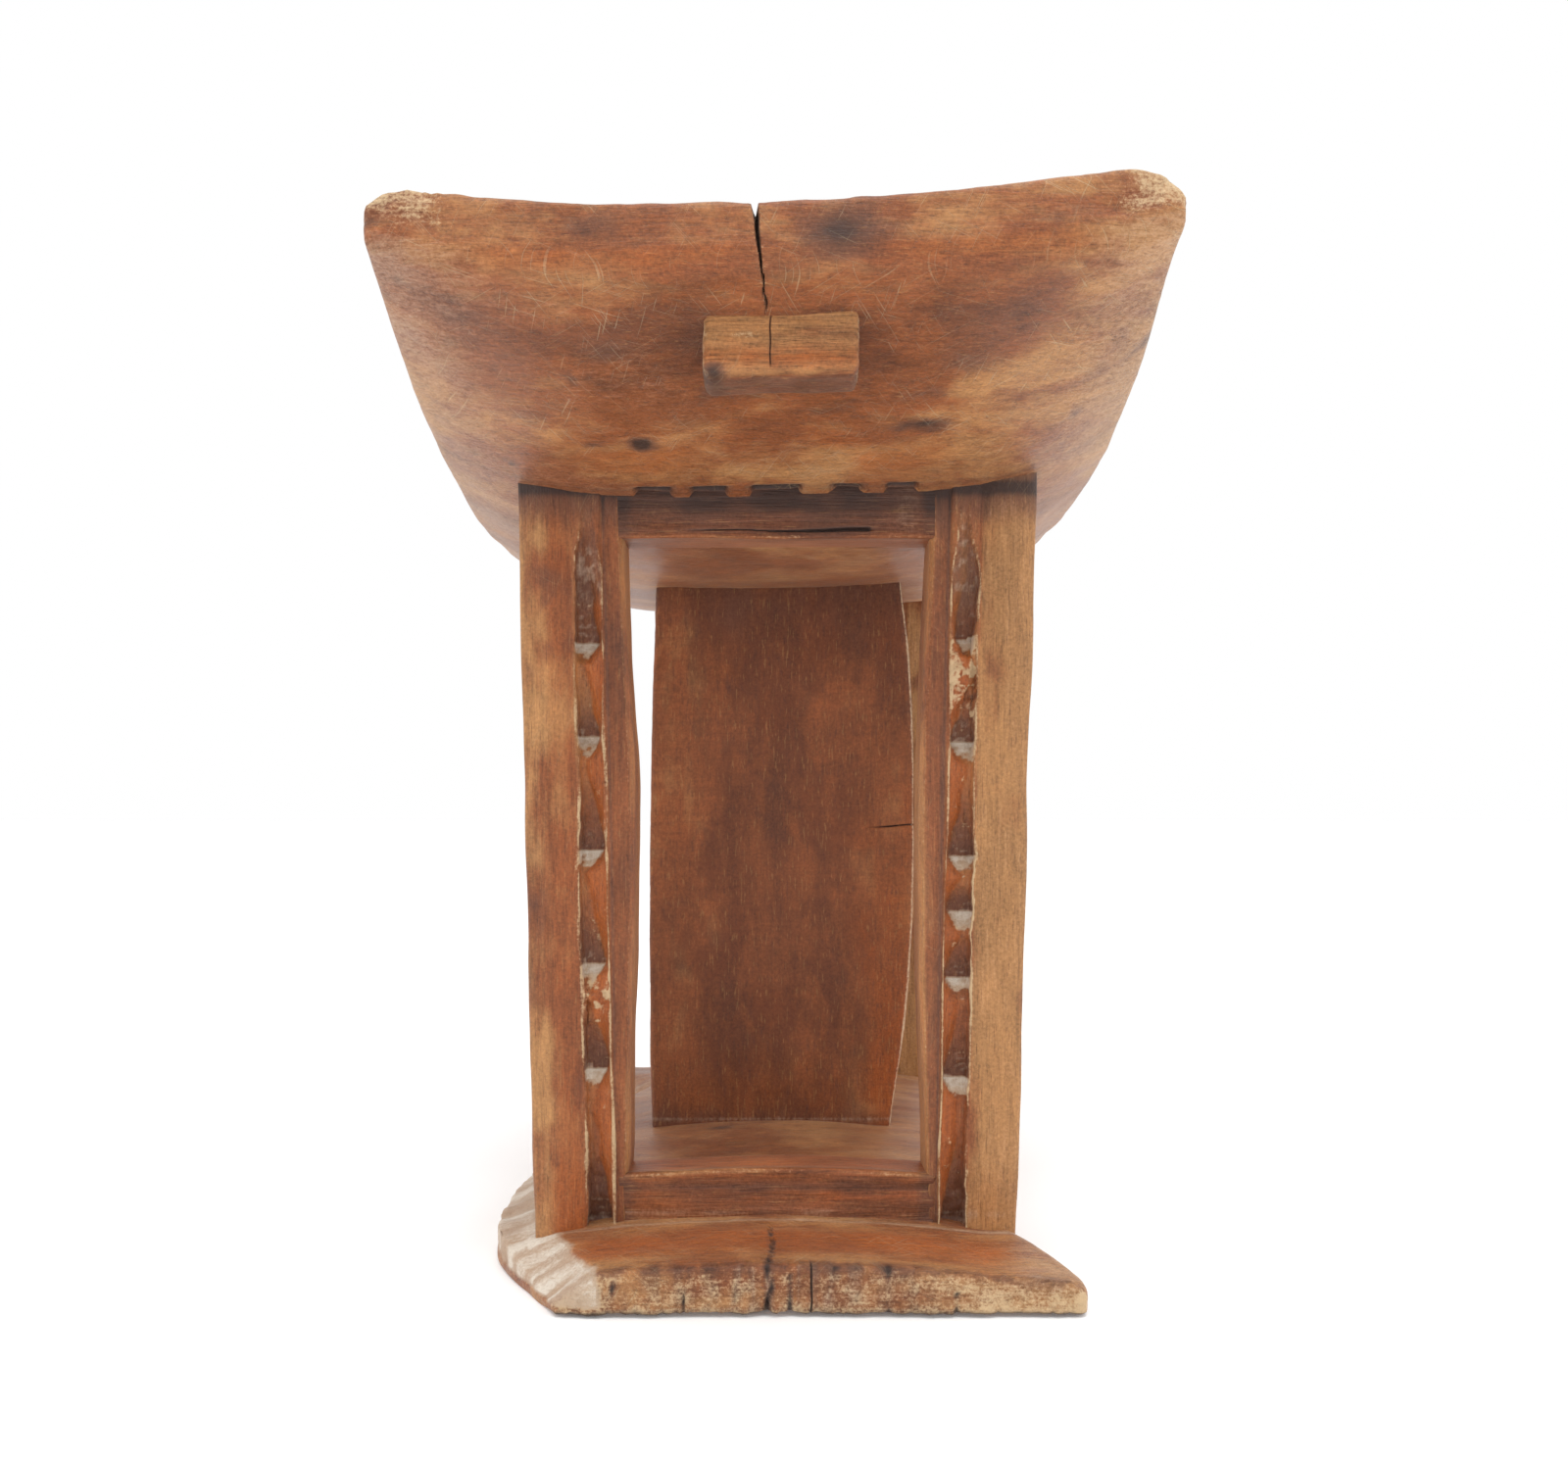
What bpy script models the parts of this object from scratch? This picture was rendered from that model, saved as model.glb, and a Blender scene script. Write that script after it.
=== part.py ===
"""A carved wooden headrest: a dished seat on two windowed end frames and a centre panel, over a domed base.

The whole object is cut from one block of wood. Its members are modelled one by one, each as a closed
solid with a hair gap to its neighbours. X runs across the seat, Y along it, Z up; the origin is on the
floor under the middle of the base. The front frame stands at -Y. All sizes are in metres.
"""

import math

import bmesh
import bpy

# Driving dimensions.
GAP = 0.0003  # hair gap left between members that meet

SEAT_LENGTH = 0.190
SEAT_WIDTH = 0.0834  # across each end
SEAT_BELLY = 0.0026  # how far each side swells beyond that at mid length
SEAT_THICKNESS = 0.0100  # on the centre line, at mid length
SEAT_LIP = 0.0060  # thickness on the centre line at the ends
SEAT_RISE = 0.0217  # how far the underside climbs from the middle to the ends
SEAT_RISE_POWER = 2.28
SEAT_KEEL_MIDDLE = 0.0083  # how far the underside climbs from centre line to side, at mid length
SEAT_KEEL_END = 0.0032
SEAT_KEEL_POWER = 4.2  # the higher, the flatter the hull between its sides
SEAT_DISH_MIDDLE = 0.0034  # how far the top climbs from centre line to side, at mid length
SEAT_DISH_END = 0.0022
SEAT_LEAN = 0.026  # cross slope of the seat: its right side stands higher
SEAT_ROUND = 0.0016  # rounding of the rim

BASE_OVERHANG = 0.0146  # how far each end runs out past the frame above it
BASE_CROWN = 0.0108  # thickness at the very middle
BASE_END_DROP = 0.0045  # how far the top falls from the middle to the ends
BASE_END_POWER = 1.8
BASE_SIDE_DROP = 0.0040  # how far the top falls from the centre line to the sides
BASE_SIDE_POWER = 2.2
BASE_ROUND = 0.0012
BASE_BELLY = 0.0076  # how far the sides stand out from the frame's foot, at their widest
BASE_MIDDLE = 0.0049  # the same, at mid length
BASE_WAIST = 0.0006  # the same, beside the frame on the waisted side
BASE_TOE = 0.0070  # the same, at the flared corner
BASE_TOE_SETBACK = 0.0018
BASE_FLARE = 0.0048  # the same, a little way back along the flared corner
BASE_FLARE_RUN = 0.0078
BASE_TOE_ROUND = 0.0008
BASE_CUT_IN = 0.0046  # how far inside the frame's foot the trimmed corner ends
BASE_CUT_RUN = 0.0215  # length of the trimmed corner along the side
BASE_BELLY_RUN = 0.0367  # distance of the widest place from the end

CLEAR_HEIGHT = 0.0842  # from the crown of the base to the keel of the seat

FRAME_SPREAD = 0.1103  # over the outer faces of the two frames
FRAME_DEPTH = 0.0092
FRAME_INSET = 0.0085  # from the seat's side at its end to the front frame's shoulder
FRAME_TAPER = 0.0024  # how much narrower each side is at the foot
REAR_FRAME_LESS = 0.0052  # the rear frame is this much narrower on each side
REAR_FRAME_SHIFT = 0.0028  # and stands this far towards +X
POST_WIDTH = 0.0132  # of the front frame, at the shoulder
POST_FOOT_WIDTH = 0.0114
REAR_POST_LESS = 0.0018  # the rear frame's posts are this much narrower
POST_CROWN = 0.0010  # how far the rounded outer half of a post swells
POST_CROWN_POINTS = 7  # of the swell's outline
POST_ARRIS = 0.04  # breadth of the bevelled outer corner, as a share of the post's width
POST_ARRIS_DEPTH = 0.0014  # how far the outer corner lies behind the swell's crest
POST_SWELL_START = 0.15  # the swell follows a sine from this share of its half wave
POST_SWELL_SPAN = 0.70  # over this share
TOP_RAIL_HEIGHT = 0.0060
BOTTOM_RAIL_HEIGHT = 0.0053
RAIL_SETBACK = 0.0004  # rails and inner bands lie this far behind the edge of a post's swell

STRIP_START = 0.51  # where the chip-carved strip begins across a post, as a share from its outer edge
STRIP_END = 0.74
STRIP_EDGE = 0.03  # breadth of the bare edge between strip and inner band, as the same share
STRIP_MARGIN = 0.02  # kept between the chips and both edges of the strip, as the same share
STRIP_DEPTH = 0.0007
CHIP_PITCH = 0.0139
CHIP_LENGTH = 0.0105
CHIP_DEPTH = 0.0022
CHIP_STOP = 0.0016  # length of the short steep side of each chip
CHIP_MARGIN = 0.0040  # plain wood kept at both ends of a strip

NOTCH_PITCH = 0.0075  # the least distance from notch to notch
NOTCH_WIDTH = 0.0042
NOTCH_HEIGHT = 0.0016
NOTCH_DEPTH = 0.0020

PANEL_WIDTH = 0.0385  # of the centre panel, at its head and foot
PANEL_DEPTH = 0.0214
PANEL_BOW = 0.0021  # how far each side swells at mid height
PANEL_ROUND = 0.0010

LUG_WIDTH = 0.0168
LUG_SETBACK = 0.0062  # from the end of the seat
LUG_LENGTH = 0.0072
LUG_DROP = 0.0064  # height of the lug's outer face
LUG_ROUND = 0.0008

# Places worked out from them.
HALF_SEAT = SEAT_LENGTH / 2
KEEL = BASE_CROWN + CLEAR_HEIGHT
FRAME_Y = FRAME_SPREAD / 2
HALF_BASE = FRAME_Y + BASE_OVERHANG
SHOULDER = SEAT_WIDTH / 2 - FRAME_INSET
FOOT = SHOULDER - FRAME_TAPER
OVERRUN = 0.010  # how far blanks and cutters run past the surface that trims them

WOOD = {
    "seat_wood": ((0.43, 0.20, 0.10), 0.42),
    "frame_wood": ((0.40, 0.19, 0.09), 0.45),
    "panel_wood": ((0.30, 0.13, 0.07), 0.50),
    "base_wood": ((0.46, 0.22, 0.10), 0.48),
}


def share(value, half):
    """Distance from the middle as a share of the half size, never negative."""
    return abs(value) / half


def side_of_seat(y):
    return SEAT_WIDTH / 2 + SEAT_BELLY * (1 - share(y, HALF_SEAT) ** 2)


def seat_bottom(x, y):
    """Height of the seat's underside: it climbs to the ends, to the sides, and towards +X."""
    along = min(share(y, HALF_SEAT), 1)
    keel = SEAT_KEEL_MIDDLE + (SEAT_KEEL_END - SEAT_KEEL_MIDDLE) * along**2
    across = share(x, side_of_seat(y)) ** SEAT_KEEL_POWER
    return KEEL + SEAT_RISE * along**SEAT_RISE_POWER + keel * across + SEAT_LEAN * x


def seat_top(x, y):
    """Height of the seat's dished top."""
    along = min(share(y, HALF_SEAT), 1)
    climb = SEAT_RISE + SEAT_LIP - SEAT_THICKNESS
    dish = SEAT_DISH_MIDDLE + (SEAT_DISH_END - SEAT_DISH_MIDDLE) * along**2
    across = share(x, side_of_seat(y)) ** 2
    return KEEL + SEAT_THICKNESS + climb * along**2 + dish * across + SEAT_LEAN * x


def smooth_through(stations, y):
    """Catmull-Rom curve through (y, value) stations, read at y."""
    last = len(stations) - 2
    i = max([n for n in range(last + 1) if stations[n][0] <= y], default=0)
    before, (y0, v0) = stations[max(i - 1, 0)], stations[i]
    (y1, v1), after = stations[i + 1], stations[min(i + 2, last + 1)]
    t = (y - y0) / (y1 - y0)
    slope0 = (v1 - before[1]) / (y1 - before[0]) * (y1 - y0)
    slope1 = (after[1] - v0) / (after[0] - y0) * (y1 - y0)
    return (
        v0 * (2 * t**3 - 3 * t**2 + 1)
        + slope0 * (t**3 - 2 * t**2 + t)
        + v1 * (3 * t**2 - 2 * t**3)
        + slope1 * (t**3 - t**2)
    )


# The base's outline is the same when turned half a turn: these are its flared and its trimmed side,
# from one end to mid length, each as (distance from the middle, distance from the centre line).
FLARED_SIDE = (
    (-HALF_BASE, FOOT + BASE_TOE - BASE_TOE_ROUND),
    (-HALF_BASE + BASE_TOE_SETBACK, FOOT + BASE_TOE),
    (-HALF_BASE + BASE_FLARE_RUN, FOOT + BASE_FLARE),
    (-FRAME_Y, FOOT + BASE_WAIST),
    (-FRAME_Y / 2, FOOT + (BASE_WAIST + BASE_MIDDLE) / 2),
)
TRIMMED_SIDE = (
    (-HALF_BASE, FOOT - BASE_CUT_IN),
    (-HALF_BASE + BASE_CUT_RUN, FOOT + (BASE_BELLY + BASE_MIDDLE) / 2),
    (-HALF_BASE + BASE_BELLY_RUN, FOOT + BASE_BELLY),
)
MIDDLE = ((0, FOOT + BASE_MIDDLE),)


def turned(side):
    return tuple((-y, value) for y, value in reversed(side))


def base_right(y):
    return smooth_through(FLARED_SIDE + MIDDLE + turned(TRIMMED_SIDE), y)


def base_left(y):
    return -smooth_through(TRIMMED_SIDE + MIDDLE + turned(FLARED_SIDE), y)


def base_top(x, y):
    """Height of the base's domed top."""
    ends = BASE_END_DROP * share(y, HALF_BASE) ** BASE_END_POWER
    sides = BASE_SIDE_DROP * share(x, FOOT + BASE_BELLY) ** BASE_SIDE_POWER
    return BASE_CROWN - ends - sides


def collection(name):
    made = bpy.data.collections.new(name)
    bpy.context.scene.collection.children.link(made)
    return made


def wood(slot):
    """A Principled BSDF in the member's own tone of the wood."""
    made = bpy.data.materials.get(slot)
    if made is None:
        colour, roughness = WOOD[slot]
        made = bpy.data.materials.new(slot)
        made.use_nodes = True
        shader = made.node_tree.nodes["Principled BSDF"]
        shader.inputs["Base Color"].default_value = (*colour, 1)
        shader.inputs["Roughness"].default_value = roughness
        shader.inputs["Metallic"].default_value = 0
    return made


def object_of(name, bm, where, slot=None):
    """Makes an object of the bmesh in a collection, with its faces pointing out."""
    bmesh.ops.recalc_face_normals(bm, faces=bm.faces)
    mesh = bpy.data.meshes.new(name)
    bm.to_mesh(mesh)
    bm.free()
    mesh.shade_smooth()
    mesh.set_sharp_from_angle(angle=math.radians(35))
    made = bpy.data.objects.new(name, mesh)
    where.objects.link(made)
    if slot:
        mesh.materials.append(wood(slot))
    else:
        made.hide_render = True
        made.display_type = "WIRE"
    return made


def slab(cells_across, cells_along, half_length, left, right, top, bottom):
    """A grid pulled up into a slab, its vertices then laid on the outline and the two surfaces."""
    bm = bmesh.new()
    bmesh.ops.create_grid(bm, x_segments=cells_across, y_segments=cells_along, size=1)
    lifted = bmesh.ops.extrude_face_region(bm, geom=bm.faces[:], use_keep_orig=True)["geom"]
    raised = {v for v in lifted if isinstance(v, bmesh.types.BMVert)}
    for v in bm.verts:
        y = v.co.y * half_length
        x = left(y) + (right(y) - left(y)) * (v.co.x + 1) / 2
        v.co = (x, y, top(x, y) if v in raised else bottom(x, y))
    return bm


def round_edges(made, width, segments=2, degrees=40):
    bevel = made.modifiers.new("rounded_edges", "BEVEL")
    bevel.width = width
    bevel.segments = segments
    bevel.limit_method = "ANGLE"
    bevel.angle_limit = math.radians(degrees)


def cut(made, cutter):
    boolean = made.modifiers.new("cut_by_" + cutter.name, "BOOLEAN")
    boolean.operation = "DIFFERENCE"
    boolean.object = cutter


def block(low, high):
    """A box between two corners, from a unit cube."""
    bm = bmesh.new()
    bmesh.ops.create_cube(bm, size=1)
    for v in bm.verts:
        v.co = [lo + (hi - lo) * (c + 0.5) for lo, hi, c in zip(low, high, v.co)]
    return bm


class Frame:
    """One end frame. It is drawn facing -Y, and facing is -1 for the front frame and 1 for the rear."""

    def __init__(self, name, facing, narrower, post_less, shift):
        self.name = name
        self.facing = facing
        self.narrower = narrower
        self.post_less = post_less
        self.shift = shift
        self.floor = base_top(0, FRAME_Y)
        self.ceiling = seat_bottom(0, FRAME_Y)
        self.window_head = self.ceiling - TOP_RAIL_HEIGHT
        self.window_sill = self.floor + BOTTOM_RAIL_HEIGHT

    def up(self, z):
        """0 at the base, 1 at the seat."""
        return (z - self.floor) / (self.ceiling - self.floor)

    def outer(self, z):
        return FOOT - self.narrower + FRAME_TAPER * self.up(z)

    def post_width(self, z):
        return POST_FOOT_WIDTH - self.post_less + (POST_WIDTH - POST_FOOT_WIDTH) * self.up(z)

    def window(self, z):
        """Half width of the window."""
        return self.outer(z) - self.post_width(z)

    def face(self, depth):
        """Y of a plane that lies this deep behind the frame's outer face."""
        return self.facing * (FRAME_Y - depth)


def post_outline():
    """The post's cross section as (share of its width from the outer edge, depth behind its crest)."""
    crowned = []
    for n in range(POST_CROWN_POINTS):
        along = n / (POST_CROWN_POINTS - 1)
        wave = math.sin(math.pi * (POST_SWELL_START + POST_SWELL_SPAN * along))
        crowned.append((POST_ARRIS + (STRIP_START - 2 * POST_ARRIS) * along, POST_CROWN * (1 - wave)))
    edge = crowned[-1][1]
    band = edge + RAIL_SETBACK
    return (
        [(0, FRAME_DEPTH), (0, POST_ARRIS_DEPTH)]
        + crowned
        + [(STRIP_START, edge + STRIP_DEPTH), (STRIP_END, edge + STRIP_DEPTH)]
        + [(STRIP_END + STRIP_EDGE, band), (1, band), (1, FRAME_DEPTH)]
    )


def post(frame, hand, parts, helpers):
    """A post: its section pulled up from inside the base into the seat, then trimmed by both."""
    low, high = frame.floor - OVERRUN, frame.ceiling + OVERRUN

    def place(share_in, depth, z):
        x = frame.outer(z) - share_in * frame.post_width(z)
        return (frame.shift + hand * x, frame.face(depth), z)

    bm = bmesh.new()
    section = post_outline()
    outline = {bm.verts.new(place(u, d, low)): (u, d) for u, d in section}
    foot = bm.faces.new(outline)
    raised = bmesh.ops.extrude_face_region(bm, geom=[foot], use_keep_orig=True)["geom"]
    for v in raised:
        if isinstance(v, bmesh.types.BMVert):
            below = next(e.other_vert(v) for e in v.link_edges if e.other_vert(v) in outline)
            v.co = place(*outline[below], high)
    side = "left" if hand < 0 else "right"
    made = object_of(f"{frame.name}_{side}_post", bm, parts, "frame_wood")
    cut(made, helpers["seat_trim"])
    cut(made, helpers["base_trim"])
    cut(made, chips(frame, hand, section, side, helpers))
    return made


def chips(frame, hand, section, side, helpers):
    """The row of chips in a post's strip: each is a long slope that ends in a short steep stop."""
    surface = section[-4][1]
    run = frame.ceiling - frame.floor - 2 * CHIP_MARGIN
    count = int((run - CHIP_LENGTH) / CHIP_PITCH) + 1
    first = frame.floor + CHIP_MARGIN + (run - (count - 1) * CHIP_PITCH - CHIP_LENGTH) / 2
    bm = bmesh.new()
    for n in range(count):
        low = first + n * CHIP_PITCH
        outline = (
            (low, surface - STRIP_DEPTH),
            (low, surface),
            (low + CHIP_STOP, surface + CHIP_DEPTH - STRIP_DEPTH),
            (low + CHIP_LENGTH, surface),
            (low + CHIP_LENGTH, surface - STRIP_DEPTH),
        )
        loops = []
        for u in (STRIP_START + STRIP_MARGIN, STRIP_END - STRIP_MARGIN):
            loops.append(
                [
                    bm.verts.new(
                        (
                            frame.shift + hand * (frame.outer(z) - u * frame.post_width(z)),
                            frame.face(d),
                            z,
                        )
                    )
                    for z, d in outline
                ]
            )
        bm.faces.new(loops[0])
        bm.faces.new(reversed(loops[1]))
        for a in range(len(outline)):
            b = (a + 1) % len(outline)
            bm.faces.new((loops[0][b], loops[0][a], loops[1][a], loops[1][b]))
    return object_of(f"{frame.name}_{side}_chips", bm, helpers["cutters"])


def rail(frame, place, low, high, parts, helpers):
    """A rail that fills the frame between its posts, from one height to another."""
    setback = post_outline()[-2][1]
    bm = block((-1, frame.face(setback), low), (1, frame.face(FRAME_DEPTH), high))
    for v in bm.verts:
        v.co.x = frame.shift + v.co.x * (frame.window(v.co.z) - GAP)
    made = object_of(f"{frame.name}_{place}_rail", bm, parts, "frame_wood")
    cut(made, helpers["seat_trim"] if place == "top" else helpers["base_trim"])
    return made


def notches(frame, helpers):
    """The row of small square notches under the seat, cut into the top rail's upper edge."""
    width = 2 * frame.window(frame.ceiling)
    count = max(1, int(width / NOTCH_PITCH))
    bm = bmesh.new()
    for n in range(count):
        middle = frame.shift + (n - (count - 1) / 2) * width / count
        ends = sorted((frame.face(-OVERRUN), frame.face(post_outline()[-2][1] + NOTCH_DEPTH)))
        low = (middle - NOTCH_WIDTH / 2, ends[0], frame.ceiling - NOTCH_HEIGHT)
        high = (middle + NOTCH_WIDTH / 2, ends[1], frame.ceiling + OVERRUN)
        one = block(low, high)
        mesh = bpy.data.meshes.new("notch")
        one.to_mesh(mesh)
        one.free()
        bm.from_mesh(mesh)
        bpy.data.meshes.remove(mesh)
    return object_of(f"{frame.name}_notches", bm, helpers["cutters"])


def build_frame(frame, parts, helpers):
    for hand in (-1, 1):
        post(frame, hand, parts, helpers)
    top = rail(frame, "top", frame.window_head, frame.ceiling + OVERRUN, parts, helpers)
    cut(top, notches(frame, helpers))
    rail(frame, "bottom", frame.floor - OVERRUN, frame.window_sill, parts, helpers)


def centre_panel(parts, helpers):
    """The plain panel at mid length, its sides bowed, from the base to the seat."""
    low, high = BASE_CROWN - OVERRUN, KEEL + OVERRUN
    bm = block((-1, -PANEL_DEPTH / 2, low), (1, PANEL_DEPTH / 2, high))
    uprights = [e for e in bm.edges if abs(e.verts[0].co.z - e.verts[1].co.z) > CLEAR_HEIGHT]
    bmesh.ops.subdivide_edges(bm, edges=uprights, cuts=11, use_grid_fill=True)
    for v in bm.verts:
        along = max(-1, min(1, 2 * (v.co.z - BASE_CROWN) / CLEAR_HEIGHT - 1))
        v.co.x *= PANEL_WIDTH / 2 + PANEL_BOW * (1 - along**2)
    made = object_of("centre_panel", bm, parts, "panel_wood")
    round_edges(made, PANEL_ROUND, segments=2, degrees=60)
    cut(made, helpers["seat_trim"])
    cut(made, helpers["base_trim"])
    return made


def lug(name, facing, parts, helpers):
    """The block left standing under one end of the seat."""
    outer = HALF_SEAT - LUG_SETBACK
    foot = seat_bottom(0, outer) - LUG_DROP
    ends = sorted((facing * outer, facing * (outer - LUG_LENGTH)))
    bm = block((-LUG_WIDTH / 2, ends[0], foot), (LUG_WIDTH / 2, ends[1], foot + LUG_DROP + OVERRUN))
    made = object_of(name, bm, parts, "seat_wood")
    round_edges(made, LUG_ROUND, degrees=60)
    cut(made, helpers["seat_trim"])
    return made


def main():
    for old in list(bpy.data.objects):
        bpy.data.objects.remove(old)
    parts = collection("headrest")
    cutters = collection("cutters")
    helpers = {"cutters": cutters}

    seat_grid = (12, 24, HALF_SEAT, lambda y: -side_of_seat(y), side_of_seat)
    base_grid = (12, 36, HALF_BASE, base_left, base_right)
    helpers["seat_trim"] = object_of(
        "seat_trim",
        slab(*seat_grid, lambda x, y: KEEL + 1.5 * CLEAR_HEIGHT, lambda x, y: seat_bottom(x, y) - GAP),
        cutters,
    )
    helpers["base_trim"] = object_of(
        "base_trim",
        slab(*base_grid, lambda x, y: base_top(x, y) + GAP, lambda x, y: -2 * OVERRUN),
        cutters,
    )

    seat = object_of("seat", slab(*seat_grid, seat_top, seat_bottom), parts, "seat_wood")
    round_edges(seat, SEAT_ROUND)
    base = object_of("base", slab(*base_grid, base_top, lambda x, y: 0), parts, "base_wood")
    round_edges(base, BASE_ROUND, segments=1)

    build_frame(Frame("front_frame", -1, 0, 0, 0), parts, helpers)
    build_frame(Frame("rear_frame", 1, REAR_FRAME_LESS, REAR_POST_LESS, REAR_FRAME_SHIFT), parts, helpers)
    centre_panel(parts, helpers)
    lug("front_lug", -1, parts, helpers)
    lug("rear_lug", 1, parts, helpers)


main()
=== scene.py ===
"""The looks of a carved wooden headrest: each member of the block is remade as a fine surface with its
tool marks, splits, wear and stains, all in one kind of wood.

Sizes are in millimetres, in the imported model's frame: X across the seat, Y along it, Z up from the floor.
The members follow in the order that a carver frees them, from the base up.
"""

import math

import bpy
import numpy as np
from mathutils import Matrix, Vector


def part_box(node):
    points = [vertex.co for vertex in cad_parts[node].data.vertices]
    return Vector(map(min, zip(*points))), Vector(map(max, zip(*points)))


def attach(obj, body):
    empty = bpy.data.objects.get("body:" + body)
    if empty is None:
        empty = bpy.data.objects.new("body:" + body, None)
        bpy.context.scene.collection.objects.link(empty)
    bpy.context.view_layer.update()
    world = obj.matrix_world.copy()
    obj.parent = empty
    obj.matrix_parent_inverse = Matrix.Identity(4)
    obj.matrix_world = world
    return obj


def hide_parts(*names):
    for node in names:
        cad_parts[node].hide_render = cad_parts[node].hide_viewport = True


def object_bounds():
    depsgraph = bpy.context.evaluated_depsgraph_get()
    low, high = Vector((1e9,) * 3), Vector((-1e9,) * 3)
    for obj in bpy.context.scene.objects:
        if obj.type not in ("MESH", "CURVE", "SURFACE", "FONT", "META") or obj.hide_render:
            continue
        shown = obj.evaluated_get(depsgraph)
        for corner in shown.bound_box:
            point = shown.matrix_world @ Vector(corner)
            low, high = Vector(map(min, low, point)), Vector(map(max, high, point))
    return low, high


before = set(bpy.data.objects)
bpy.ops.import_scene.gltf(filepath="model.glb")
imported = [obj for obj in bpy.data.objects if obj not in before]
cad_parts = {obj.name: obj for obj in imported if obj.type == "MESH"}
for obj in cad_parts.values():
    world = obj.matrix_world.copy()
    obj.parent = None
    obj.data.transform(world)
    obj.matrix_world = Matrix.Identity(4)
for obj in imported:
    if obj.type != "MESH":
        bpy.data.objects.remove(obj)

MM = 0.001
cad_low, cad_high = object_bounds()


# The studio: a white table inside a white tent, with broad soft lamps above and to both sides.
# The camera stands close before the seat's near end, level, a little below half the object's height.

CAMERA_OFF = 155.4  # from the seat's near end
CAMERA_HEIGHT = 62.6
CAMERA_ASIDE = 1.0
CAMERA_LENS = 34.92
CAMERA_SHIFT = 0.0381
CAMERA_NEAREST = 0.01  # metres
TENT_STRENGTH = 1.0
TABLE_REACH = 3  # metres from the middle to each side
TABLE_GLOW = 0.10


def corners(node):
    """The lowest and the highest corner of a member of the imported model, in millimetres."""
    low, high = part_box(node)
    return np.array(low) / MM, np.array(high) / MM


seat_low, seat_high = corners("seat")
camera_data = bpy.data.cameras.new("camera")
camera_data.lens = CAMERA_LENS
camera_data.shift_y = CAMERA_SHIFT
camera_data.clip_start = CAMERA_NEAREST
camera = bpy.data.objects.new("camera", camera_data)
camera.location = (CAMERA_ASIDE * MM, (seat_low[1] - CAMERA_OFF) * MM, CAMERA_HEIGHT * MM)
camera.rotation_euler = (math.pi / 2, 0, 0)
bpy.context.scene.collection.objects.link(camera)
bpy.context.scene.camera = camera
bpy.context.scene.view_settings.view_transform = "Standard"

tent = bpy.data.worlds.new("tent")
tent.use_nodes = True
tent.node_tree.nodes["Background"].inputs["Color"].default_value = (1, 1, 1, 1)
tent.node_tree.nodes["Background"].inputs["Strength"].default_value = TENT_STRENGTH
bpy.context.scene.world = tent

# name, place in metres, side of the square lamp in metres, watts; each is turned to the object's middle
LAMPS = (
    ("lamp_above", (0.05, -0.25, 0.75), 0.60, 3.2),
    ("lamp_left", (-0.70, -0.35, 0.40), 0.50, 1.6),
    ("lamp_right", (0.70, -0.35, 0.35), 0.50, 1.6),
)
for lamp_name, place, side, watts in LAMPS:
    lamp_data = bpy.data.lights.new(lamp_name, "AREA")
    lamp_data.size = side
    lamp_data.energy = watts
    lamp = bpy.data.objects.new(lamp_name, lamp_data)
    lamp.location = place
    away = lamp.location - (cad_low + cad_high) / 2
    lamp.rotation_euler = away.to_track_quat("Z", "Y").to_euler()
    bpy.context.scene.collection.objects.link(lamp)

table_mesh = bpy.data.meshes.new("table")
table_corners = [(a * TABLE_REACH, b * TABLE_REACH, 0) for a, b in ((-1, -1), (1, -1), (1, 1), (-1, 1))]
table_mesh.from_pydata(table_corners, [], [(0, 1, 2, 3)])
table_white = bpy.data.materials.new("table_white")
table_white.use_nodes = True
table_shader = table_white.node_tree.nodes["Principled BSDF"]
table_shader.inputs["Base Color"].default_value = (0.92, 0.92, 0.92, 1)
table_shader.inputs["Roughness"].default_value = 0.6
table_shader.inputs["Emission Color"].default_value = (1, 1, 1, 1)
table_shader.inputs["Emission Strength"].default_value = TABLE_GLOW
table_mesh.materials.append(table_white)
table = bpy.data.objects.new("table", table_mesh)
bpy.context.scene.collection.objects.link(table)


# The base: a low dome left at the foot of the block, flat underneath, adzed and then worn smooth on top.
# Its sides slope away, two opposite corners are trimmed off, and the cut ends show dry, checked end grain.


def lines(low, high, step, crowds=()):
    """Places of grid lines from low to high, about a step apart. Round a crowd (middle, reach, step) they
    stand closer: the lines are spread evenly over the running total of a density, which is the highest of
    1 / step and of each crowd's bell curve."""
    fine = np.linspace(low, high, 6001)
    density = np.full(fine.shape, 1 / step)
    for middle, reach, least in crowds:
        density = np.maximum(density, np.exp(-(((fine - middle) / reach) ** 2)) / least)
    total = np.concatenate(([0], np.cumsum((density[1:] + density[:-1]) / 2 * np.diff(fine))))
    return np.interp(np.linspace(0, total[-1], int(total[-1]) + 2), total, fine)


def block(across, along, up):
    """Closed grid over a box's six sides, from the places of its grid lines: a lattice is numbered where
    it lies on the surface, and each side is the slice of it at one end of one axis."""
    shape = (len(across), len(along), len(up))
    on_surface = np.ones(shape, bool)
    on_surface[1:-1, 1:-1, 1:-1] = False
    number = np.zeros(shape, int)
    number[on_surface] = np.arange(on_surface.sum())
    points = np.stack(np.meshgrid(across, along, up, indexing="ij"), -1)[on_surface]
    quads = []
    for axis in range(3):
        for end in (0, -1):
            side = np.take(number, end, axis=axis)
            ring = np.stack([side[:-1, :-1], side[1:, :-1], side[1:, 1:], side[:-1, 1:]], -1)
            turned = (end == -1) == (axis == 1)
            quads.append(ring.reshape(-1, 4)[:, :: -1 if turned else 1])
    return points, np.concatenate(quads)


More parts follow.
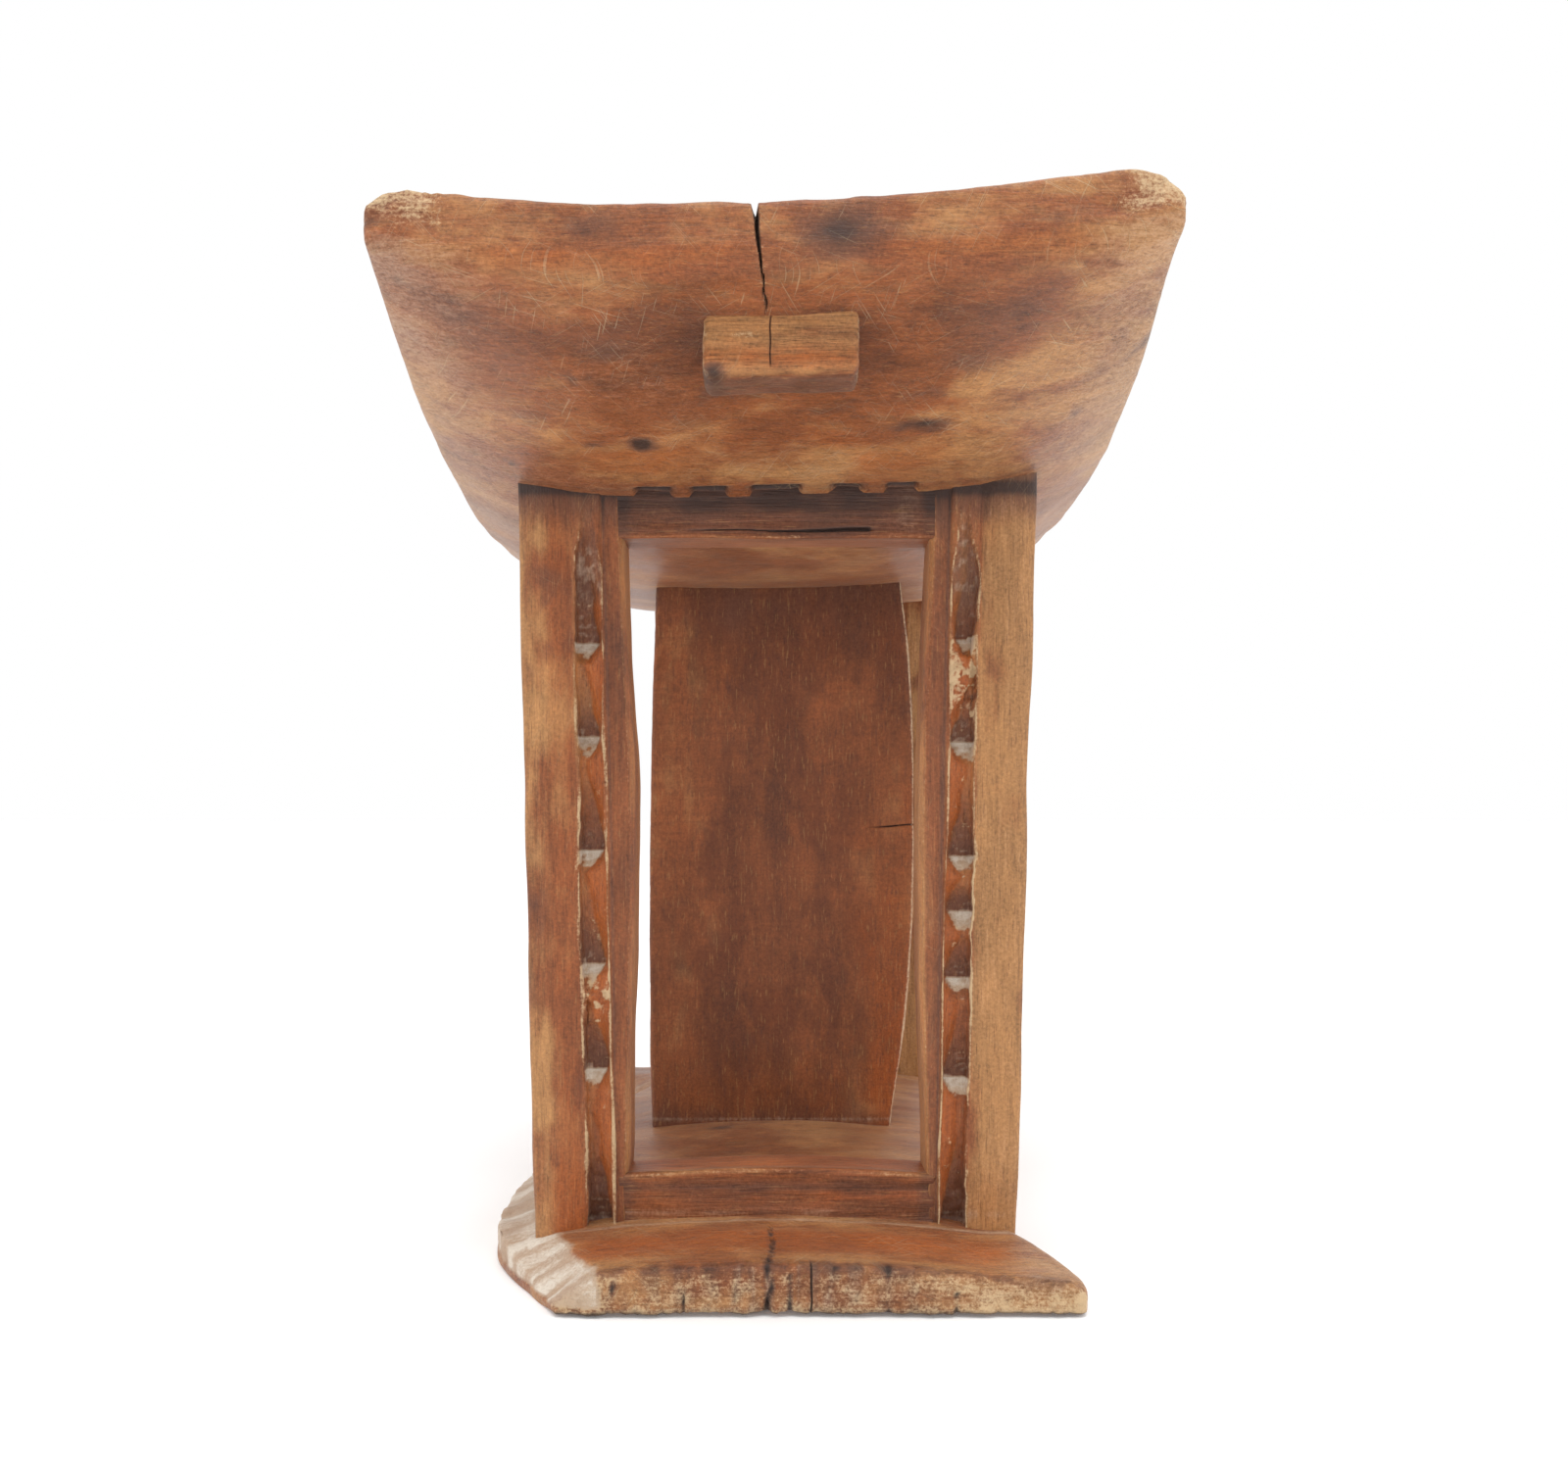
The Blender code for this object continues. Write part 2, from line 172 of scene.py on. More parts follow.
def rounded(points, radii):
    """Rounds a box's edges and corners: a point is held inside the box shrunk by the radii, and stands out
    from there by one radius, in the direction in which it lay."""
    radii = np.broadcast_to(np.asarray(radii, float), 3)
    core = np.clip(points, points.min(0) + radii, points.max(0) - radii)
    way = (points - core) / radii
    return core + radii * way / np.linalg.norm(way, axis=1, keepdims=True)


def noise(points, pitch, seed):
    """Smooth noise from -1 to 1: every corner of a lattice of that pitch holds a value hashed from its
    place by large odd multipliers and shifts, and a point blends its eight corners by smooth steps. The
    pitch may differ by axis."""
    place = points / pitch
    cell = np.floor(place)
    part = place - cell
    part = part * part * (3 - 2 * part)
    cell = cell.astype(np.int64)
    total = np.zeros(len(points))
    for corner in np.ndindex(2, 2, 2):
        key = (cell + corner) @ np.array([374761393, 668265263, 1442695041]) + seed * 1013904223
        key = ((key ^ (key >> 13)) * 1274126177) & 0xFFFFFFFF
        key = ((key ^ (key >> 15)) * 2246822519) & 0xFFFFFFFF
        weight = np.prod(np.where(corner, part, 1 - part), axis=1)
        total += weight * ((key ^ (key >> 16)) / 2**31 - 1)
    return total


def rough(points, pitch, seed, octaves=3):
    """Noise on noise: each octave has half the pitch and half the height of the one before."""
    pitch = np.asarray(pitch, float)
    return sum(noise(points, pitch / 2**n, seed + n) / 2**n for n in range(octaves))


def step(value, low, high):
    """0 below low, 1 above high, and a smooth rise between; low may be the greater, for a fall."""
    share = np.clip((value - low) / (high - low), 0, 1)
    return share * share * (3 - 2 * share)


def bell(value, middle, reach):
    """1 at the middle, falling off on both sides as exp(-(distance / reach) squared)."""
    return np.exp(-(((value - middle) / reach) ** 2))


def split(off, width, depth):
    """Depth of a split in the wood: a V that deep and twice that width, off being the distance from it."""
    return depth * np.clip(1 - np.abs(off) / width, 0, 1)


def curve_through(stations, at):
    """Smooth curve through (place, value) stations, read at every place of at: a cubic between
    neighbours, whose slope at a station is the weighted mean of the slopes on both sides."""
    place, value = np.array(stations, float).T
    slope = np.gradient(value, place)
    i = np.clip(np.searchsorted(place, at, side="right") - 1, 0, len(place) - 2)
    run = place[i + 1] - place[i]
    t = (at - place[i]) / run
    return (
        value[i] * (2 * t**3 - 3 * t**2 + 1) + slope[i] * run * (t**3 - 2 * t**2 + t)
        + value[i + 1] * (3 * t**2 - 2 * t**3) + slope[i + 1] * run * (t**3 - t**2)
    )


def carve(points, quads, depth):
    """Moves each point inwards by its depth, against the mean direction of the quads round it, each
    quad's direction being the cross product of its diagonals."""
    out = np.cross(points[quads[:, 2]] - points[quads[:, 0]], points[quads[:, 3]] - points[quads[:, 1]])
    sums = [np.bincount(quads.ravel(), np.repeat(out[:, k], 4), len(points)) for k in range(3)]
    total = np.stack(sums, 1)
    return points - total / np.linalg.norm(total, axis=1, keepdims=True) * np.asarray(depth)[:, None]


def outward(points, quads):
    """Turns every quad round if the closed surface holds a negative volume."""
    a, b, c, d = (points[quads[:, k]] for k in range(4))
    volume = (np.cross(a, b) * c).sum() + (np.cross(a, c) * d).sum()
    return quads if volume > 0 else quads[:, ::-1]


MARKS = ("tone", "bare", "grime_and_shade", "painted_warm_light", "wax_and_sheen")
LIMITED = ("bare", "grime_and_shade", "wax_and_sheen")  # a member's marks of these kinds are held between 0 and 1


def member(name, points, quads, material, marks):
    """Makes a member at the origin from points in millimetres. Each mark is a value at every point that
    the wood's colours read: tone from dark -1 to tan 1, partly painted light and shade; bare dry wood,
    partly painted edge highlights; grime, partly painted shade; painted warm light, an orange bounce light;
    and waxy bloom, partly painted grazing sheen."""
    quads = outward(points, quads)
    mesh = bpy.data.meshes.new(name)
    mesh.vertices.add(len(points))
    mesh.vertices.foreach_set("co", (points * MM).astype(np.float32).ravel())
    mesh.loops.add(quads.size)
    mesh.loops.foreach_set("vertex_index", quads.astype(np.int32).ravel())
    mesh.polygons.add(len(quads))
    mesh.polygons.foreach_set("loop_start", np.arange(0, quads.size, 4, dtype=np.int32))
    mesh.update(calc_edges=True)
    mesh.shade_smooth()
    for mark in MARKS:
        values = np.broadcast_to(marks.get(mark, 0.0), len(points))
        if mark in LIMITED:
            values = np.clip(values, 0, 1)
        attribute = mesh.attributes.new(mark, "FLOAT", "POINT")
        attribute.data.foreach_set("value", np.ascontiguousarray(values, np.float32))
    mesh.materials.append(material)
    made = bpy.data.objects.new(name, mesh)
    bpy.context.scene.collection.objects.link(made)
    return made


class Wire:
    """A value in a material's node tree. Arithmetic on wires adds Math nodes, and node() adds any other."""

    def __init__(self, tree, socket):
        self.tree = tree
        self.socket = socket

    def node(self, kind, values, output=0, **settings):
        """Adds a node: first its settings, then the values or wires of its inputs, by index or name."""
        made = self.tree.nodes.new(kind)
        for name, setting in settings.items():
            setattr(made, name, setting)
        for where, value in values.items():
            if isinstance(value, Wire):
                self.tree.links.new(value.socket, made.inputs[where])
            else:
                made.inputs[where].default_value = value
        return Wire(self.tree, made.outputs[output])

    def math(self, operation, *values):
        return self.node("ShaderNodeMath", dict(enumerate(values)), operation=operation)

    def __add__(self, other):
        return self.math("ADD", self, other)

    def __sub__(self, other):
        return self.math("SUBTRACT", self, other)

    def __rsub__(self, other):
        return self.math("SUBTRACT", other, self)

    def __mul__(self, other):
        return self.math("MULTIPLY", self, other)

    __radd__ = __add__
    __rmul__ = __mul__

    def rise(self, low, high):
        """0 below low, 1 above high, smooth between."""
        values = {0: self, 1: low, 2: high, 3: 0.0, 4: 1.0}
        return self.node("ShaderNodeMapRange", values, interpolation_type="SMOOTHSTEP")

    def mixed(self, colour, share):
        """This colour with a share of another over it."""
        values = {"Factor": share, 6: self, 7: colour}
        return self.node("ShaderNodeMix", values, 2, data_type="RGBA", clamp_factor=True)

    def scaled(self, by):
        """This vector with each of its parts multiplied."""
        return self.node("ShaderNodeVectorMath", {0: self, 1: by}, operation="MULTIPLY")

    def lit(self, by):
        """This colour made lighter or darker by a factor."""
        return self.node("ShaderNodeVectorMath", {0: self, "Scale": by}, operation="SCALE")

    def grain(self, detail, roughness, distortion=0.0):
        """Noise at this vector, about 0.3 to 0.7, with a pitch of one unit."""
        values = {"Vector": self, "Scale": 1.0, "Detail": detail, "Roughness": roughness}
        values["Distortion"] = distortion
        return self.node("ShaderNodeTexNoise", values)


# The wood's tones, as linear colours. The orange stands for painted warm light; the umber and soot serve
# both grime and painted shade, the wax both wax and painted sheen, the chalk both torn fibres and painted
# glare.
TAN = (0.355, 0.178, 0.066, 1)
RED_BROWN = (0.235, 0.070, 0.022, 1)
DARK_BROWN = (0.085, 0.026, 0.012, 1)
UMBER_AND_SHADE = (0.122, 0.048, 0.027, 1)
BOUNCE_ORANGE = (0.290, 0.068, 0.011, 1)
DRY = (0.540, 0.385, 0.220, 1)
SOOT_AND_SHADOW = (0.026, 0.015, 0.013, 1)
WAX_AND_SHEEN = (0.430, 0.315, 0.225, 1)
CHALK_AND_GLARE = (0.640, 0.570, 0.480, 1)

# The scratches run four ways: the direction across each, so chosen that none lies flat on a broad face.
SCRATCH_WAYS = ((1, 0.7, 0.9), (-1, 0.8, 0.6), (0.5, -0.9, 1), (0.8, 1, -0.35))
SCRATCH_WIDTH = 0.11
SCRATCH_LENGTH = 5.0  # of the first way; each next way's are 1 mm longer
BUMP_HEIGHT = 0.20


def wood(name, streaks, blotch, streaked=1.0, figure=0.0, scratched=1.0, polish=0.40):
    """The wood of one member. streaks is the length in millimetres, along each axis, of its fine grain
    lines, and blotch that of its mottling; streaked is how strongly the grain shows, figure the share of
    cross ripples, scratched that of fine scratches, and polish the roughness where it is rubbed."""
    material = bpy.data.materials.new(name)
    material.use_nodes = True
    tree = material.node_tree
    shader = tree.nodes["Principled BSDF"]
    start = Wire(tree, None)
    mm = start.node("ShaderNodeTexCoord", {}, "Object").scaled((1 / MM,) * 3)
    mark = {m: start.node("ShaderNodeAttribute", {}, "Fac", attribute_name=m) for m in MARKS}
    pitch = np.array(streaks)

    cloud = mm.scaled(tuple(1 / (3.2 * np.array(blotch)))).grain(3, 0.55, 0.7)
    patch = mm.scaled(tuple(1 / np.array(blotch))).grain(4, 0.6, 0.8)
    band = mm.scaled(tuple(1 / (pitch * 4))).grain(3, 0.55, 0.3)
    fibre = mm.scaled(tuple(1 / pitch)).grain(5, 0.68, 0.1)
    pore = mm.scaled(tuple(3 / pitch)).grain(1, 0.5)
    speck = mm.scaled((1 / 0.40,) * 3).grain(3, 0.75)
    ripple = mm.scaled((1 / 9, 1 / 9, 1 / 1.0)).grain(2, 0.5, 0.6)

    # from here on, each share says where one tone lies over those before it
    tan_share = (cloud * 2.4 + patch * 1.3 + band * 1.2 + mark["tone"] * 0.75 - 2.55).rise(-0.35, 0.75)
    dark_share = (patch * 2.2 + band * 1.2 - cloud - mark["tone"] * 0.70 - 1.15).rise(0.0, 0.9)
    tans = {"Factor": tan_share * 0.85, 6: RED_BROWN, 7: TAN}
    colour = start.node("ShaderNodeMix", tans, 2, data_type="RGBA", clamp_factor=True)
    colour = colour.mixed(DARK_BROWN, dark_share * 0.72)
    # painted warm light: orange bounce light and warm highlights
    colour = colour.mixed(BOUNCE_ORANGE, (mark["painted_warm_light"] * (0.45 + patch * 1.1)).rise(0.15, 1.0) * 0.85)
    colour = colour.mixed(UMBER_AND_SHADE, cloud.rise(0.44, 0.30) * patch.rise(0.40, 0.62) * 0.45)
    # grime, and painted shade in scoops, notches and contact lines
    colour = colour.mixed(UMBER_AND_SHADE, (mark["grime_and_shade"] * (0.6 + patch * 0.9)).rise(0.05, 0.50) * 0.80)
    colour = colour.mixed(DARK_BROWN, pore.rise(0.60, 0.72) * 0.38)
    colour = colour.mixed(TAN, pore.rise(0.38, 0.28) * 0.35)
    if figure:
        waves = ripple.rise(0.42, 0.62) * cloud.rise(0.36, 0.56) * figure
        colour = colour.mixed(DARK_BROWN, waves)
    shade = (fibre - 0.5) * (1.7 * streaked) + (speck - 0.5) * 1.3
    shade = shade + (patch - 0.5) * 0.6 + (cloud - 0.5) * 0.8 + 1.0
    colour = colour.lit(shade)
    # bare dry wood, and painted highlights on edges and lit sides
    bare_share = (mark["bare"] * 1.6 + speck * 1.5 + fibre - 1.85).rise(-0.10, 0.60)
    bare_share = bare_share * mark["bare"].rise(0.02, 0.20)
    colour = colour.mixed(DRY, bare_share * 0.90)
    # waxy bloom, and painted grazing sheen
    wax_and_sheen_share = (mark["wax_and_sheen"] * 1.3 + fibre * 0.8 + speck * 0.5 - 0.85).rise(-0.05, 0.75)
    colour = colour.mixed(WAX_AND_SHEEN, wax_and_sheen_share * mark["wax_and_sheen"].rise(0.0, 0.25) * 0.85)
    # near-white torn fibres, and painted grazing glare, as on the base's bevels
    torn = (mark["wax_and_sheen"] + speck * 0.35 + fibre * 0.45 - 0.40).rise(0.70, 1.05) * 0.92
    colour = colour.mixed(CHALK_AND_GLARE, torn)
    # soot, and the darkest painted shadow, as under the base's near end
    soot_and_shadow_share = (mark["grime_and_shade"] * 1.5 + patch * 0.6 + speck * 0.3 - 1.0).rise(0.0, 0.8)
    colour = colour.mixed(SOOT_AND_SHADOW, soot_and_shadow_share * mark["grime_and_shade"].rise(0.2, 0.5) * 0.90)

    height = fibre * 1.1 + speck * (mark["bare"] * 2.0 + 0.35) - pore.rise(0.66, 0.74) * 0.5
    if scratched:
        scratches = None
        for number, across in enumerate(SCRATCH_WAYS):
            settings = {
                "Vector": mm,
                "Rotation": Vector(across).to_track_quat("X", "Z").to_euler(),
                "Scale": (SCRATCH_WIDTH, SCRATCH_LENGTH + number, 6.0),
            }
            line = start.node("ShaderNodeMapping", settings, vector_type="TEXTURE").grain(0, 0.5)
            line = line.rise(0.735, 0.81)
            scratches = line if scratches is None else scratches + line
        scratches = scratches * (cloud * 1.6 + patch * 0.8 - 0.9).rise(0.0, 0.5) * scratched
        colour = colour.mixed(DRY, scratches * 0.30)
        height = height - scratches * 0.5
    bump = {"Strength": 0.6, "Distance": BUMP_HEIGHT * MM, "Height": height}
    gloss = fibre * 0.18 + patch * 0.18 + mark["bare"] * 0.25 + mark["wax_and_sheen"] * 0.10 + (polish - 0.18)
    for socket, value in (("Base Color", colour), ("Roughness", gloss)):
        tree.links.new(value.socket, shader.inputs[socket])
    tree.links.new(start.node("ShaderNodeBump", bump).socket, shader.inputs["Normal"])
    shader.inputs["Specular IOR Level"].default_value = 0.30
    shader.inputs["Sheen Weight"].default_value = 0.13
    shader.inputs["Sheen Roughness"].default_value = 0.40
    shader.inputs["Sheen Tint"].default_value = (1.0, 0.82, 0.66, 1)
    return material


BASE_HALF, BASE_CROWN = corners("base")[1][1:]
BASE_END_DROP = 4.5  # how far the dome falls from the middle to the ends
BASE_SIDE_DROP = 4.0  # and from the centre line to the sides
BASE_BELLY = 7.6  # how far each side stands out from the frame's foot, at its widest
BASE_GRID = 38.5  # half breadth of the grid, before its breadth follows the outline
BASE_GRID_UP = 3.5  # and half its height, before it follows the dome
FOOT_HALF = 30.8  # half breadth of the frame's foot
FRAME_FACE = -corners("front_frame_left_post")[0][1]  # from the middle to the frames' outer faces
BASE_SLOPE = 5.4  # breadth of the adzed bevel along each side
BASE_ROUND = 2.2  # breadth of the rounded edge at the flared corners
BASE_EDGE = 1.5  # thickness left at the foot of the bevel, at the ends
BASE_THICKER = 2.8  # and how much more of it is left along the sides
BASE_CHECKS = (-19.5, -11.0, 1.6, 4.1, 13.4, 21.5)  # where fine drying checks stand in the near end
BASE_SPLIT = -1.0  # where the near end is split

# One side of the outline from the near end to the far end, as (place, distance from the centre line): the
# corner is trimmed at the near end and flares out at the far one. The other side is this one turned round.
BASE_SIDE = (
    (-BASE_HALF, FOOT_HALF - 4.6),
    (-BASE_HALF + 6.0, FOOT_HALF - 1.6),
    (-BASE_HALF + 21.5, FOOT_HALF + 6.2),
    (-BASE_HALF + 36.7, FOOT_HALF + BASE_BELLY),
    (0, FOOT_HALF + 4.9),
    (FRAME_FACE, FOOT_HALF + 0.6),
    (BASE_HALF - 7.8, FOOT_HALF + 4.8),
    (BASE_HALF - 1.8, FOOT_HALF + 6.6),
    (BASE_HALF, FOOT_HALF + 6.2),
)


def base_top(x, y):
    """Height of the dome: its crown less a power of the distance along and a power of it across."""
    ends = BASE_END_DROP * np.minimum(np.abs(y) / BASE_HALF, 1) ** 1.8
    return BASE_CROWN - ends - BASE_SIDE_DROP * (np.abs(x) / (FOOT_HALF + BASE_BELLY)) ** 2.2


def base_surface():
    """A rounded box whose breadth follows the outline and whose top follows the dome. Along each side the
    top falls nearly straight to a thin edge over the bevel's breadth; at a flared corner it rounds off
    instead, by a quarter of a circle."""
    checks = [(x, 0.45, 0.16) for x in BASE_CHECKS]
    crowds = [(BASE_SPLIT, 1.2, 0.11), (-35, 5, 0.40), (35, 5, 0.40)] + checks
    across = lines(-BASE_GRID, BASE_GRID, 0.66, crowds)
    along = lines(-BASE_HALF, BASE_HALF, 0.80, [(-BASE_HALF, 9, 0.34), (BASE_HALF, 5, 0.5)])
    rims = [(-BASE_GRID_UP, 1, 0.35), (BASE_GRID_UP, 1, 0.35)]
    points, quads = block(across, along, lines(-BASE_GRID_UP, BASE_GRID_UP, 0.8, rims))
    x, y, z = rounded(points, (0.7, 0.8, 0.8)).T
    left, right = -curve_through(BASE_SIDE, y), curve_through(BASE_SIDE, -y)
    share = (x + BASE_GRID) / (2 * BASE_GRID)
    x = left + (right - left) * share
    flared = np.where(x < 0, step(y, 42, 56), step(-y, 42, 56))
    inset = np.minimum(x - left, right - x)
    top = base_top(x, y) + 1.1 * flared * step(np.abs(x), 24, 34)
    bevel = np.clip(1 - inset / BASE_SLOPE, 0, 1) * (1 - flared)
    edge = np.clip(1 - inset / BASE_ROUND, 0, 1) * flared
    thin = BASE_EDGE + BASE_THICKER * step(np.abs(y), BASE_HALF - 2, BASE_HALF - 22)
    top = top - (top - thin) * bevel**1.1 - 1.5 * (1 - np.sqrt(1 - np.minimum(edge, 1) ** 2))
    return np.stack([x, y, top * (z + BASE_GRID_UP) / (2 * BASE_GRID_UP)], 1), quads, inset, flared


points, quads, inset, flared = base_surface()
x, y, z = points.T
near = bell(y, -BASE_HALF, 1.0)
ends = bell(np.abs(y), BASE_HALF, 1.0)
top_side = step(z, 1.2, 3.0)
bevelled = step(inset + 0.7 * rough(points, 2.5, 17), BASE_SLOPE + 0.6, BASE_SLOPE - 0.8)
bevelled = bevelled * (1 - flared) * step(z, 0.8, 1.6)
wander = 0.5 * noise(points, 3.0, 5) + 0.2 * noise(points, 0.9, 6)
split_way = BASE_SPLIT + wander + 0.35 * step(z, 0, 6)
split_here = step(y, -56.5, -60)
ragged = rough(points, 1.2, 14)
depth = 0.26 * rough(points, 15, 1) + 0.07 * noise(points, (11, 2.6, 6), 2) * top_side
depth += 0.05 * noise(points, (14, 0.9, 3), 3) * top_side * step(y, -50, -58)
depth += (0.50 * np.abs(noise(points, (9, 1.7, 9), 4)) + 0.16 * rough(points, 2.2, 9)) * bevelled
depth += (0.30 * rough(points, 1.6, 7) + 0.16 * rough(points, (0.5, 1, 2.5), 8) + 0.10) * ends
depth += split(x - split_way, 0.15 + 0.14 * near, 1.1) * split_here
check_marks = sum(bell(x + 0.35 * noise(points, 2.0, 11), c, 0.10) for c in BASE_CHECKS)
check_marks = check_marks * near * step(noise(points, (3, 3, 2.5), 12), -0.5, 0.1)
depth += 0.4 * check_marks
depth += 0.5 * step(z, 0.6, 0.1) * bell(y, -BASE_HALF, 3.5)
points = carve(points, quads, depth)
foot_line = bell(y, -FRAME_FACE - 0.5, 0.55) * (np.abs(x) < FOOT_HALF + 1)
rim_low = 4.7 - 2.0 * step(np.abs(x), 18, 33)
end_rim = bell(y, -BASE_HALF + 0.7, 1.2) * step(z, rim_low, rim_low + 1.0) * step(ragged, -1.0, 0.2)
tips = step(np.abs(x + 4), 20, 31)
blot = bell(x + 0.5 * ragged, -8.9, 2.1) * bell(y, -14.5, 1.0) * top_side
streaky = step(rough(points, (0.9, 3, 5), 15), -0.6, 0.7)
# painted grazing glare on the bevels, varied along the adze ridges
bevel_glare = 0.50 + 0.30 * step(x, 0, -20) * step(y, 10, -20) + 0.35 * noise(points, (9, 1.2, 9), 16)
# a painted warm highlight on the near part of the top
near_warm_light = 0.95 * bell(y, -62.0, 5.0) * step(np.abs(x - 2), 34, 22)
# Painted light in these marks: the dome's sides lightened, the bevels and the right slope near the near end
# whitened as grazing highlights, and the top inside the frame warmed as bounce light.
base_marks = {
    "tone": 0.40 + 0.1 * near * (1 - tips) * streaky + 0.3 * near * tips
    + 0.35 * step(np.abs(x), 26, 36) * top_side,
    "bare": ends * (0.42 + 0.12 * tips + 0.20 * step(z, 1.2, 0.3) + 0.13 * ragged) * (1 - 0.7 * end_rim)
    + 0.30 * bevelled + 0.30 * bell(inset, 0, 1.0) * (1 - bevelled) * step(ragged, -0.3, 0.5),
    "grime_and_shade": 0.30 * end_rim + check_marks + split_here * bell(x, split_way, 0.26) + 0.75 * blot
    + near * (1 - tips) * (0.20 * streaky + 0.30 * step(ragged, 0.3, 1.2)) + 0.12 * near
    # a painted contact shadow along the foot of the near end
    + 0.9 * near * step(z, 0.9, 0.4),
    "painted_warm_light": top_side * (near_warm_light + 0.40 * step(y, -56, -50)) * (1 - near),
    "wax_and_sheen": 0.45 * foot_line + 0.30 * near * bell(x, 2, 17) * streaky + bevel_glare * bevelled
    + 0.22 * top_side * step(x, 20, 33) * step(y, -50, -60),
}
base_wood = wood("base_wood_worn", (4.0, 0.45, 0.45), (7, 4, 4), 0.8)
base = member("base_carved", points, quads, base_wood, base_marks)
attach(base, "root")
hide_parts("base")


# The centre panel: the thick plain board left standing at mid length, from base to seat. Its broad faces
# are nearly flat and show rippled cross figure, and its sides bow outwards, one more than the other.

panel_low, panel_high = corners("centre_panel")
PANEL_HALF = 19.3
PANEL_FLOOR = 8.6  # sunk in the base's dome
PANEL_HEAD = 98.2  # sunk in the seat
PANEL_SPLIT = 57.2
PANEL_RIGHT = (17.6, 1.6, 3.2)  # of the right side: how far out at the foot, how much more at the head,
PANEL_LEFT = (19.7, -0.6, 0.9)  # and the swell at mid height; and the same of the left side


def panel_surface():
    """A rounded box whose two sides swell by different amounts, as a parabola of the height."""
    across = lines(-PANEL_HALF, PANEL_HALF, 0.6, [(-PANEL_HALF, 2, 0.25), (PANEL_HALF, 2, 0.25)])
    along = lines(panel_low[1], panel_high[1], 0.8, [(panel_low[1], 1.5, 0.3), (panel_high[1], 1.5, 0.3)])
    up = lines(PANEL_FLOOR, PANEL_HEAD, 0.62, [(PANEL_SPLIT, 0.8, 0.12)])
    points, quads = block(across, along, up)
    x, y, z = rounded(points, (0.7, 0.7, 0.5)).T
    rise = (z - PANEL_FLOOR) / (PANEL_HEAD - PANEL_FLOOR)
    swell = 4 * rise * (1 - rise)
    right, left = (foot + more * rise + bow * swell for foot, more, bow in (PANEL_RIGHT, PANEL_LEFT))
    edge = step(np.abs(x), PANEL_HALF - 0.55, PANEL_HALF - 0.15)
    return np.stack([np.where(x > 0, right, left) * x / PANEL_HALF, y, z], 1), quads, edge


points, quads, edge = panel_surface()
x, y, z = points.T
depth = 0.28 * rough(points, 17, 21) + 0.07 * noise(points, (3.5, 3.5, 14), 22)
depth += 0.03 * noise(points, (9, 9, 0.8), 23)
split_off = z - PANEL_SPLIT - 0.35 * noise(points, 2.0, 24) - 0.10 * (x - 18)
split_here = step(x, 13.5, 18.0) * step(y, 2, -4)
depth += split(split_off, 0.14, 0.7) * split_here
points = carve(points, quads, depth)
arris = edge * bell(y, panel_low[1], 0.9)
head = step(z, 80, 95)
smoky = rough(points, (6, 6, 10), 25)
# Painted light on the panel: the lighter band on the left of the faces is a painted sheen, and the pale
# right edge is partly worn and partly a painted rim highlight.
panel_marks = {
    "tone": -0.75 - 0.35 * head + 0.55 * bell(x, -15.5, 4.5)
    + 0.55 * step(x, 8, 17) * step(z, 85, 60) + 0.25 * smoky,
    "bare": arris * np.where(x > 0, 0.62, 0.20),
    "grime_and_shade": 0.26 * head + 0.12 * step(smoky, 0.2, 0.9) + bell(split_off, 0, 0.13) * split_here
    + 0.22 * step(z, 15, 11) + 0.25 * edge * (x < 0) * step(z, 90, 94),
    "painted_warm_light": 0.60 * step(x, 9, 19) * step(z, 75, 40) + 0.30 * step(smoky, 0.3, -0.4),
    "wax_and_sheen": 0.35 * bell(z, 10.9, 0.45) + 0.3 * arris * (x > 0),
}
panel_wood = wood("panel_wood_rippled", (0.8, 0.8, 6.0), (4, 4, 7), 0.35, 0.16, 0.0, 0.50)
panel = member("panel_carved", points, quads, panel_wood, panel_marks)
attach(panel, "root")
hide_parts("centre_panel")


# The frames' posts: each is rounded on its outer half. Inside that runs a knife-cut channel between two
# thin bare edges, gouged in a row of long scoops that end in short steps, and then a flat inner band.

POST_DEPTH = 9.2
POST_CROWN = 1.0  # how far the rounded half swells
CHANNEL_START = 0.50  # as a share of the grid across the post, from its outer edge
CHANNEL_END = 0.735
CHANNEL_IN = 6.9  # from the post's outer edge
CHANNEL_WIDE = 3.5
CHANNEL_DEPTH = 0.7
SCOOP_DEPTH = 1.5
FAN_LENGTH = 3.0  # of the torn end below each step
BAND_DEPTH = 0.95  # how far the inner band lies behind the crest of the rounded half
JAMB_START = 0.945  # where the band turns towards the window, as the same share
JAMB_FALL = 0.7
POST_GRID = 13  # breadth of the grid while its edges are rounded
FACE_REACH = 4.5  # how far behind its face the carving fades out
CARVED_OFF = 0.25  # about as much as the tool marks take off again
POST_LOW = 4.6  # sunk in the base
POST_HIGH = 108.0  # sunk in the seat
FRAME_FLOOR = 7.8
FRAME_CEILING = 101.3
CHANNEL_LOW = 6.7
CHANNEL_HIGH = 99.2


def frame_share(z):
    return (z - FRAME_FLOOR) / (FRAME_CEILING - FRAME_FLOOR)


